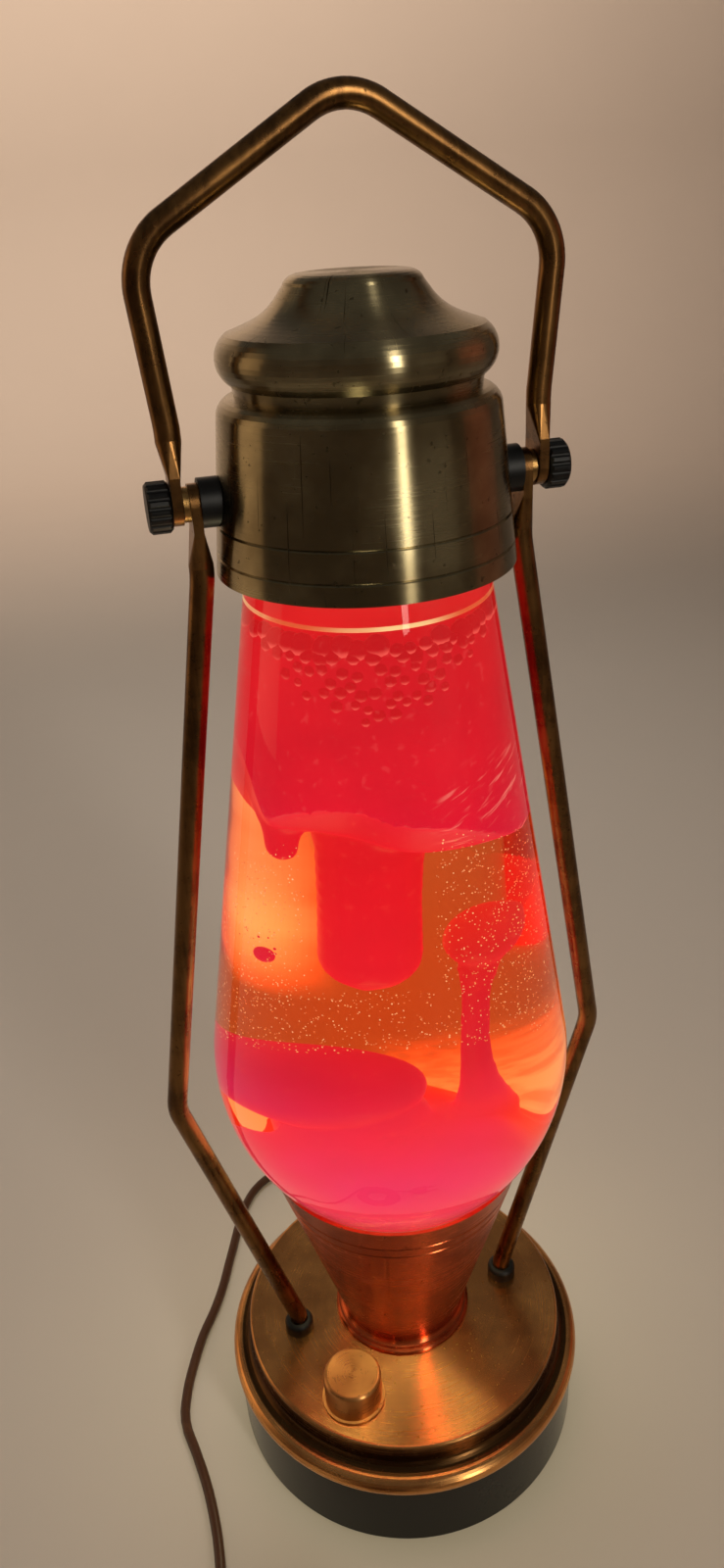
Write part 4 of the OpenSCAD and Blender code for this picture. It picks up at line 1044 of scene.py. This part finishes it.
@dataclass
class GlobeContents:
    """Liquid, wax and specks in the globe. Names that end in _mm hold millimetres."""

    globe_r: float = 54.3 * MM
    bowl_r: float = 62 * MM
    base_r: float = 26 * MM
    taper: float = math.radians(9.2)
    glass_t: float = 2.4 * MM
    shoulder_r: float = 8 * MM
    shoulder_end: float = 70.0
    neck_r: float = 13 * MM
    neck_rise: float = 3 * MM
    cone_h: float = 161 * MM
    liquid_gap: float = 0.12 * MM
    liquid_edge_mm: tuple[Span, ...] = ((1.2, 0.9), (4.0, 1.3))
    liquid_dip: float = 1.4 * MM
    meniscus_r: float = 0.55 * MM
    meniscus_in: float = 0.75 * MM
    meniscus_down: float = 1.0 * MM
    shell_steps: int = 128
    wax_voxel: float = 1.2 * MM
    wax_rounds: int = 6
    mass_film: float = 1.2 * MM
    mass_low_z: float = 243 * MM
    mass_steps: int = 12
    mass_edge: Span = (6 * MM, 4 * MM)
    mass_least: float = 6 * MM
    tongue_mm: Strand = (
        (-1.6, -0.6, 254, 14), (-2.2, -0.4, 240, 11.4),
        (-2.8, -0.3, 222, 10.8), (-3.2, -0.2, 205, 11.0),
    )
    lobe_mm: Strand = ((-21.4, -2.5, 256, 8.0), (-21.9, -2.8, 248, 4.8), (-22.2, -2.9, 242.4, 4.2))
    pool_film: float = 0.45 * MM
    pool_z: float = 137.5 * MM
    pool_steps: int = 16
    beach_turn: float = math.radians(16.8)
    beach_start: float = 20.5 * MM
    mound_mm: Lumps = (((-10.8, 15.0, 150.5), (21, 15, 13)), ((-4.2, 14.4, 138), (15, 13, 14)))
    stem_mm: Strand = (
        (19.6, 13.6, 133, 6.5), (19.0, 11.8, 145, 4.0), (18.4, 10.0, 154, 3.3),
        (17.8, 7.5, 166, 2.9), (18.0, 5.0, 184, 3.0), (18.6, 4.2, 193, 4.4),
    )
    bulb_mm: Lumps = (((19.6, 3.5, 203), (7.8, 8.0, 9.6)), ((22.6, 3.0, 206), (4.6, 5.0, 5.6)))
    bead_at_mm: Point = (-28.4, -3.1, 208.6)
    bead_radii_mm: Point = (2.9, 2.5, 2.1)
    crumbs_mm: Strand = (
        (2.6, -1, 2.4, 0.4), (3.2, 0, 0.2, 0.3), (-2.4, -2, 7.0, 0.35), (1.0, -1, 6.0, 0.25),
    )
    seed: int = 11
    foam_rows: int = 8
    foam_count: int = 46
    foam_first_mm: float = 6.0
    foam_step_mm: float = 2.7
    foam_radii_mm: Span = (1.5, 3.4)
    foam_depths_mm: Span = (7.0, 17.0)
    foam_out_mm: float = 0.42
    foam_shift: Span = (-0.25, 0.25)
    foam_rise_mm: Span = (-0.8, 0.8)
    foam_gaps: float = 0.12
    speck_count: int = 13800
    speck_batch: int = 60
    speck_low_z: float = 142 * MM
    speck_top_gap: float = 6 * MM
    speck_radii_mm: Span = (0.11, 0.26)
    speck_areas: Span = (0.35, 1.0)
    speck_sink: float = 1.6
    speck_inset: float = 1.0 * MM
    seen_share: float = 0.75
    sight_fall: float = 0.63
    clear_levels_mm: Span = (170.0, 236.0)
    clear_tongue_mm: Point = (-2.9, 11.5, 190.0)
    clear_back: float = 2 * MM

    def __post_init__(self) -> None:
        """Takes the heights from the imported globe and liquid."""
        self.base_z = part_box("globe_glass")[0].z
        self.mouth_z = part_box("globe_glass")[1].z
        self.top_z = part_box("liquid")[1].z
        self.mid_z = self.base_z + math.sqrt(self.bowl_r ** 2 - (self.base_r - self.bowl_x) ** 2)
        self.shoulder_z = self.mid_z + self.cone_h

    @property
    def bowl_x(self) -> float:
        """Distance of the bowl's centre of curvature from the axis."""
        return self.globe_r - self.bowl_r

    def wall(self, z: float, off: float) -> float:
        """Finds the globe's radius at a height.

        Args:
            z: The height.
            off: Distance inward from the outer face.

        Returns:
            The radius.
        """
        radius = self.bowl_r - off
        foot_z = self.mid_z + radius * math.sin(self.taper)
        if z <= foot_z:
            return self.bowl_x + math.sqrt(max(0.0, radius ** 2 - (z - self.mid_z) ** 2))
        foot_r = self.bowl_x + radius * math.cos(self.taper)
        return foot_r - (z - foot_z) * math.tan(self.taper)

    def wall_outline(self, low: float, high: float, off: float, steps: int = 24) -> Outline:
        """Outline along the glass from one height to another."""
        heights = [low + (high - low) * i / steps for i in range(steps + 1)]
        return [(self.wall(z, off), z) for z in heights]

    def blob(self, shape: bmesh.types.BMesh, at: Point, radii: Point, subdivisions: int = 3) -> None:
        """Adds a rounded lump.

        Args:
            shape: The bmesh that it is added to.
            at: Its middle, in millimetres.
            radii: Its half sizes across, away and up as the lamp is looked at, in millimetres.
            subdivisions: Fineness of its faces.
        """
        matrix = Matrix.Translation(Vector(at) * MM) @ Matrix.Rotation(-VIEW_TURN, 4, "Z")
        matrix = matrix @ Matrix.Diagonal((*(r * MM for r in radii), 1.0))
        bmesh.ops.create_icosphere(shape, subdivisions=subdivisions, radius=1.0, matrix=matrix)

    def strand(self, shape: bmesh.types.BMesh, line: Strand) -> None:
        """Adds a run of wax as overlapping lumps.

        Args:
            shape: The bmesh that it is added to.
            line: Place and radius of each point of the run, in millimetres.
        """
        for low, high in zip(line, line[1:]):
            span = math.dist(low[:3], high[:3])
            count = max(1, math.ceil(span / (0.5 * min(low[3], high[3]))))
            for i in range(count + 1):
                x, y, z, r = (a + (b - a) * i / count for a, b in zip(low, high))
                self.blob(shape, (x, y, z), (r, r, r), 2)

    def lumps(self, shape: bmesh.types.BMesh, places: Lumps) -> None:
        """Adds several lumps, each with its place and half sizes in millimetres."""
        for at, radii in places:
            self.blob(shape, at, radii)

    def seen(self, place: Vector) -> tuple[float, float]:
        """Distances to the right of the axis and behind it, as the lamp is looked at."""
        cos, sin = math.cos(VIEW_TURN), math.sin(VIEW_TURN)
        return place.x * cos - place.y * sin, place.y * cos + place.x * sin

    def shell_outline(self, off: float) -> Outline:
        """Draws a face of the glass.

        Args:
            off: Distance inward from the outer face.

        Returns:
            The outline, from the middle of the bottom to the mouth.
        """
        low = self.base_z + off
        foot_z = self.mid_z + (self.bowl_r - off) * math.sin(self.taper)
        turn_r = self.wall(self.shoulder_z, 0.0) - self.shoulder_r * math.cos(self.taper)
        turn_z = self.shoulder_z - self.shoulder_r * math.sin(self.taper)
        outline = [(0.0, low)] + self.wall_outline(low, foot_z, off)
        start = math.degrees(self.taper)
        outline += arc((turn_r, turn_z), self.shoulder_r - off, start, self.shoulder_end, 8)
        neck_z = turn_z + self.shoulder_r + self.neck_rise - off
        return outline + [(self.neck_r - off, neck_z), (self.neck_r - off, self.mouth_z)]

    def add_shell(self) -> None:
        """Makes the glass globe, open at its mouth."""
        shape = bmesh.new()
        outline = self.shell_outline(0.0) + self.shell_outline(self.glass_t)[::-1]
        spin_outline(shape, outline, self.shell_steps)
        middle = Vector((0, 0, self.mid_z))
        for face in shape.faces:
            outward = face.normal.dot(face.calc_center_median() - middle) > 0
            face.material_index = 0 if outward else 1
        made = add_piece("globe_shell", shape, GlobeGlass(), Slot.GLASS, "globe_glass")
        made.data.materials.append(WettedGlass().build())

    def add_liquid(self) -> None:
        """Fills the globe with liquid up to its surface, with a meniscus that climbs the glass."""
        off = self.glass_t + self.liquid_gap
        low = self.base_z + off
        reach = self.wall(self.top_z, off)
        shape = bmesh.new()
        outline = [(0.0, low)] + self.wall_outline(low, self.top_z, off, steps=40)
        for inward, down in self.liquid_edge_mm:
            outline.append((reach - inward * MM, self.top_z - down * MM))
        outline.append((0.0, self.top_z - self.liquid_dip))
        spin_outline(shape, outline)
        add_piece("liquid_body", shape, AmberLiquid(), Slot.LIQUID, "liquid")

    def add_meniscus(self) -> None:
        """Adds the bright edge of the liquid where it meets the glass."""
        reach = self.wall(self.top_z, self.glass_t) - self.meniscus_in
        shape = bmesh.new()
        ring = arc((reach, self.top_z - self.meniscus_down), self.meniscus_r, 0, 360, 8)
        spin_outline(shape, ring)
        add_piece("liquid_meniscus", shape, MENISCUS_GLINT, Slot.LIQUID)

    def mass_under(self, place: Vector) -> float:
        """Finds the hanging wax's underside, which rises towards the glass.

        Args:
            place: Place over or under it.

        Returns:
            Its height.
        """
        right, away = self.seen(place)
        ripple = 1.6 * MM * math.sin(away / (7 * MM) + right / (11 * MM))
        step = 6 * MM * smooth_step(10 * MM, -10 * MM, right)
        left = 24 * MM * smooth_step(-24 * MM, -36 * MM, right)
        front = 14 * MM * smooth_step(-12 * MM, -34 * MM, away)
        back = 9 * MM * smooth_step(12 * MM, 36 * MM, away)
        return self.mass_low_z + ripple + step + max(left, front, back)

    def add_mass(self) -> None:
        """Makes the wax that hangs from the surface, with its tongue and side lobe."""
        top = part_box("wax_hanging")[1].z
        off = self.glass_t + self.mass_film
        low = self.mass_low_z
        shape = bmesh.new()
        outline = [(self.wall(low, off) * i / self.mass_steps, low) for i in range(self.mass_steps)]
        outline += self.wall_outline(low, top - self.mass_edge[1], off)
        outline += [(self.wall(top, off) - self.mass_edge[0], top), (0.0, top)]
        spin_outline(shape, outline)
        for vert in shape.verts:
            vert.co.z = max(vert.co.z, min(self.mass_under(vert.co), top - self.mass_least))
        self.strand(shape, self.tongue_mm)
        self.strand(shape, self.lobe_mm)
        made = add_piece("wax_mass", shape, WAX_MASS, Slot.WAX, "wax_hanging")
        melt(made, self.wax_voxel, self.wax_rounds)

    def pool_top(self, place: Vector) -> float:
        """Finds the settled wax's top, which falls away on the right and in a trench at the back left.

        Args:
            place: Place over or under it.

        Returns:
            Its height.
        """
        cos, sin = math.cos(self.beach_turn), math.sin(self.beach_turn)
        past = place.x * cos + place.y * sin - self.beach_start
        beach = 24 * MM * smooth_step(-3 * MM, 24 * MM, past)
        right, away = self.seen(place)
        out = math.hypot((right + 22 * MM) / (9 * MM), (away - 24 * MM) / (19 * MM))
        trench = 17 * MM * smooth_step(1.0, 0.45, out)
        return self.pool_z - max(beach, trench)

    def add_pool(self) -> None:
        """Makes the settled wax with its swelling and the stem that rises from it."""
        off = self.glass_t + self.pool_film
        low = self.base_z + off
        shape = bmesh.new()
        outline = [(0.0, low)] + self.wall_outline(low, self.pool_z, off)
        rim = outline[-1][0]
        for i in range(self.pool_steps):
            outline.append((rim * (1 - (i + 1) / self.pool_steps), self.pool_z))
        spin_outline(shape, outline)
        for vert in shape.verts:
            vert.co.z = max(low, min(vert.co.z, self.pool_top(vert.co)))
            reach = math.hypot(vert.co.x, vert.co.y)
            share = min(1.0, self.wall(vert.co.z, off) / max(reach, MM))
            vert.co.x *= share
            vert.co.y *= share
        self.lumps(shape, self.mound_mm)
        self.strand(shape, self.stem_mm)
        self.lumps(shape, self.bulb_mm)
        made = add_piece("wax_settled", shape, WAX_POOL, Slot.WAX, "wax_pool")
        melt(made, self.wax_voxel, self.wax_rounds)

    def add_bead(self) -> None:
        """Makes the free droplet and the crumbs round it."""
        shape = bmesh.new()
        self.blob(shape, self.bead_at_mm, self.bead_radii_mm)
        for *shift, size in self.crumbs_mm:
            self.blob(shape, tuple(Vector(self.bead_at_mm) + Vector(shift)), (size, size, size), 2)
        add_piece("wax_bead", shape, WAX_MASS, Slot.WAX, "wax_droplet")

    def add_foam(self) -> None:
        """Adds the net of bubbles in the wax under the surface, deepest at the front and back."""
        draw = random.Random(self.seed)
        shape = bmesh.new()
        side, front = self.foam_depths_mm
        for row in range(self.foam_rows):
            height = self.top_z - (self.foam_first_mm + self.foam_step_mm * row) * MM
            for i in range(self.foam_count):
                turn = i + 0.5 * (row % 2) + draw.uniform(*self.foam_shift)
                angle = 2 * math.pi * turn / self.foam_count
                facing = abs(math.sin(angle + VIEW_TURN)) ** 3
                size = draw.uniform(*self.foam_radii_mm)
                z = height + draw.uniform(*self.foam_rise_mm) * MM
                lowest = self.top_z - (side + front * facing) * MM
                if z < lowest or draw.random() < self.foam_gaps:
                    continue
                reach = self.wall(z, self.glass_t + self.mass_film) / MM - size + self.foam_out_mm
                at = (reach * math.cos(angle), reach * math.sin(angle), z / MM)
                self.blob(shape, at, (size, size, size), 2)
        add_piece("wax_foam", shape, WAX_FOAM, Slot.WAX)

    def clear_of_wax(self, place: Vector) -> bool:
        """Tells whether a speck would show against the liquid, as the lamp is looked at.

        Args:
            place: Place of the speck.

        Returns:
            Whether no wax lies close behind it.
        """
        right, away = self.seen(place)
        right = self.seen_share * right / MM
        level = (place.z + self.sight_fall * min(0.0, away)) / MM
        middle, half, low = self.clear_tongue_mm
        tongue = abs(right - middle) < half and level > low
        between = self.clear_levels_mm[0] < level < self.clear_levels_mm[1]
        return between and not tongue and away < self.clear_back

    def add_specks(self) -> None:
        """Scatters fine bright specks through the liquid."""
        draw = random.Random(self.seed + 1)
        low = self.speck_low_z
        high = self.top_z - self.speck_top_gap
        shape = bmesh.new()
        for _ in range(self.speck_count // self.speck_batch):
            batch = bmesh.new()
            for _ in range(self.speck_batch):
                z = low + (high - low) * draw.random() ** self.speck_sink
                share = math.sqrt(draw.uniform(*self.speck_areas))
                reach = share * (self.wall(z, self.glass_t) - self.speck_inset)
                angle = draw.uniform(0, 2 * math.pi)
                size = draw.uniform(*self.speck_radii_mm)
                at = Vector((reach * math.cos(angle), reach * math.sin(angle), z))
                if self.clear_of_wax(at):
                    self.blob(batch, tuple(at / MM), (size, size, size), 1)
            mesh = bpy.data.meshes.new("speck_batch")
            batch.to_mesh(mesh)
            batch.free()
            shape.from_mesh(mesh)
            bpy.data.meshes.remove(mesh)
        add_piece("liquid_specks", shape, SPECK_GLINT, Slot.LIQUID)

    def build(self) -> None:
        """Makes everything in the globe."""
        self.add_shell()
        self.add_liquid()
        self.add_meniscus()
        self.add_mass()
        self.add_pool()
        self.add_bead()
        self.add_foam()
        self.add_specks()


@dataclass
class Metalwork:
    """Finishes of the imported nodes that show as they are."""

    nodes: dict[str, bpy.types.Object]

    def dress(self, finish: Finish, *names: str) -> None:
        """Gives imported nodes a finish.

        Args:
            finish: The finish.
            names: The nodes' names.
        """
        material = finish.build()
        for name in names:
            node = self.nodes[name]
            if not node.material_slots:
                node.data.materials.append(material)
            for slot in node.material_slots:
                slot.material = material
        LOG.info("finish %s on %s", finish.name, ", ".join(names))

    def pair(self, *stems: str) -> list[str]:
        """Left and right names of pieces that come in pairs."""
        return [f"{stem}_{side}" for stem in stems for side in ("left", "right")]

    def numbered(self, stem: str, count: int) -> list[str]:
        """Numbered names of pieces that repeat."""
        return [f"{stem}_{i + 1}" for i in range(count)]

    def build(self) -> None:
        """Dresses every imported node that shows."""
        low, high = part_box("knob")
        middle = (low + high) / 2
        knob = TurnedBrass("knob_brass", BASE_BRASS.tone, BASE_BRASS.patina, 0.30, (middle.x, middle.y))
        self.dress(BASE_BRASS, "base_plate")
        self.dress(RED_LIT_COLLAR_BRASS, "collar")
        self.dress(knob, "knob")
        self.dress(CAP_BRASS, "cap_skirt", "cap_hood")
        self.dress(ROD_BRASS, "handle", *self.pair("rod"))
        self.dress(WASHER_BRASS, *self.pair("pivot_washer"))
        self.dress(BLACK_GLOSS, "plinth_shell")
        cord_ends = ("strain_relief", "cord_tie", "plug_body")
        self.dress(BLACK_PLASTIC, "bottom_cover", "dimmer_body", *cord_ends)
        self.dress(BLACK_METAL, *self.pair("pivot_boss", "thumb_screw", "rod_ferrule"))
        self.dress(RUBBER, *self.numbered("foot", 4), "cap_pad")
        self.dress(GASKET, "globe_gasket")
        self.dress(
            STEEL, "socket_bracket", "bulb_shell", "dimmer_nut", "dimmer_shaft", "collar_ring",
            "globe_stopper", "hood_screw", *self.numbered("tie_screw", 3),
            *self.numbered("bracket_screw", 2), *self.pair("rod_nut", "pivot_nut"),
        )
        self.dress(PORCELAIN, "lamp_socket")
        self.dress(FrostedBulb(), "bulb_glass")
        self.dress(BLADE_BRASS, *self.numbered("plug_blade", 2))


def main() -> None:
    """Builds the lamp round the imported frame."""
    logging.basicConfig(level=logging.INFO, format="%(name)s: %(message)s")
    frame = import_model()
    studio = Studio()
    studio.add_camera()
    PowerCord().build(frame["nodes"])
    Metalwork(frame["nodes"]).build()
    GlobeContents().build()
    studio.add_floor()
    studio.add_lights()


if __name__ == "__main__":
    main()
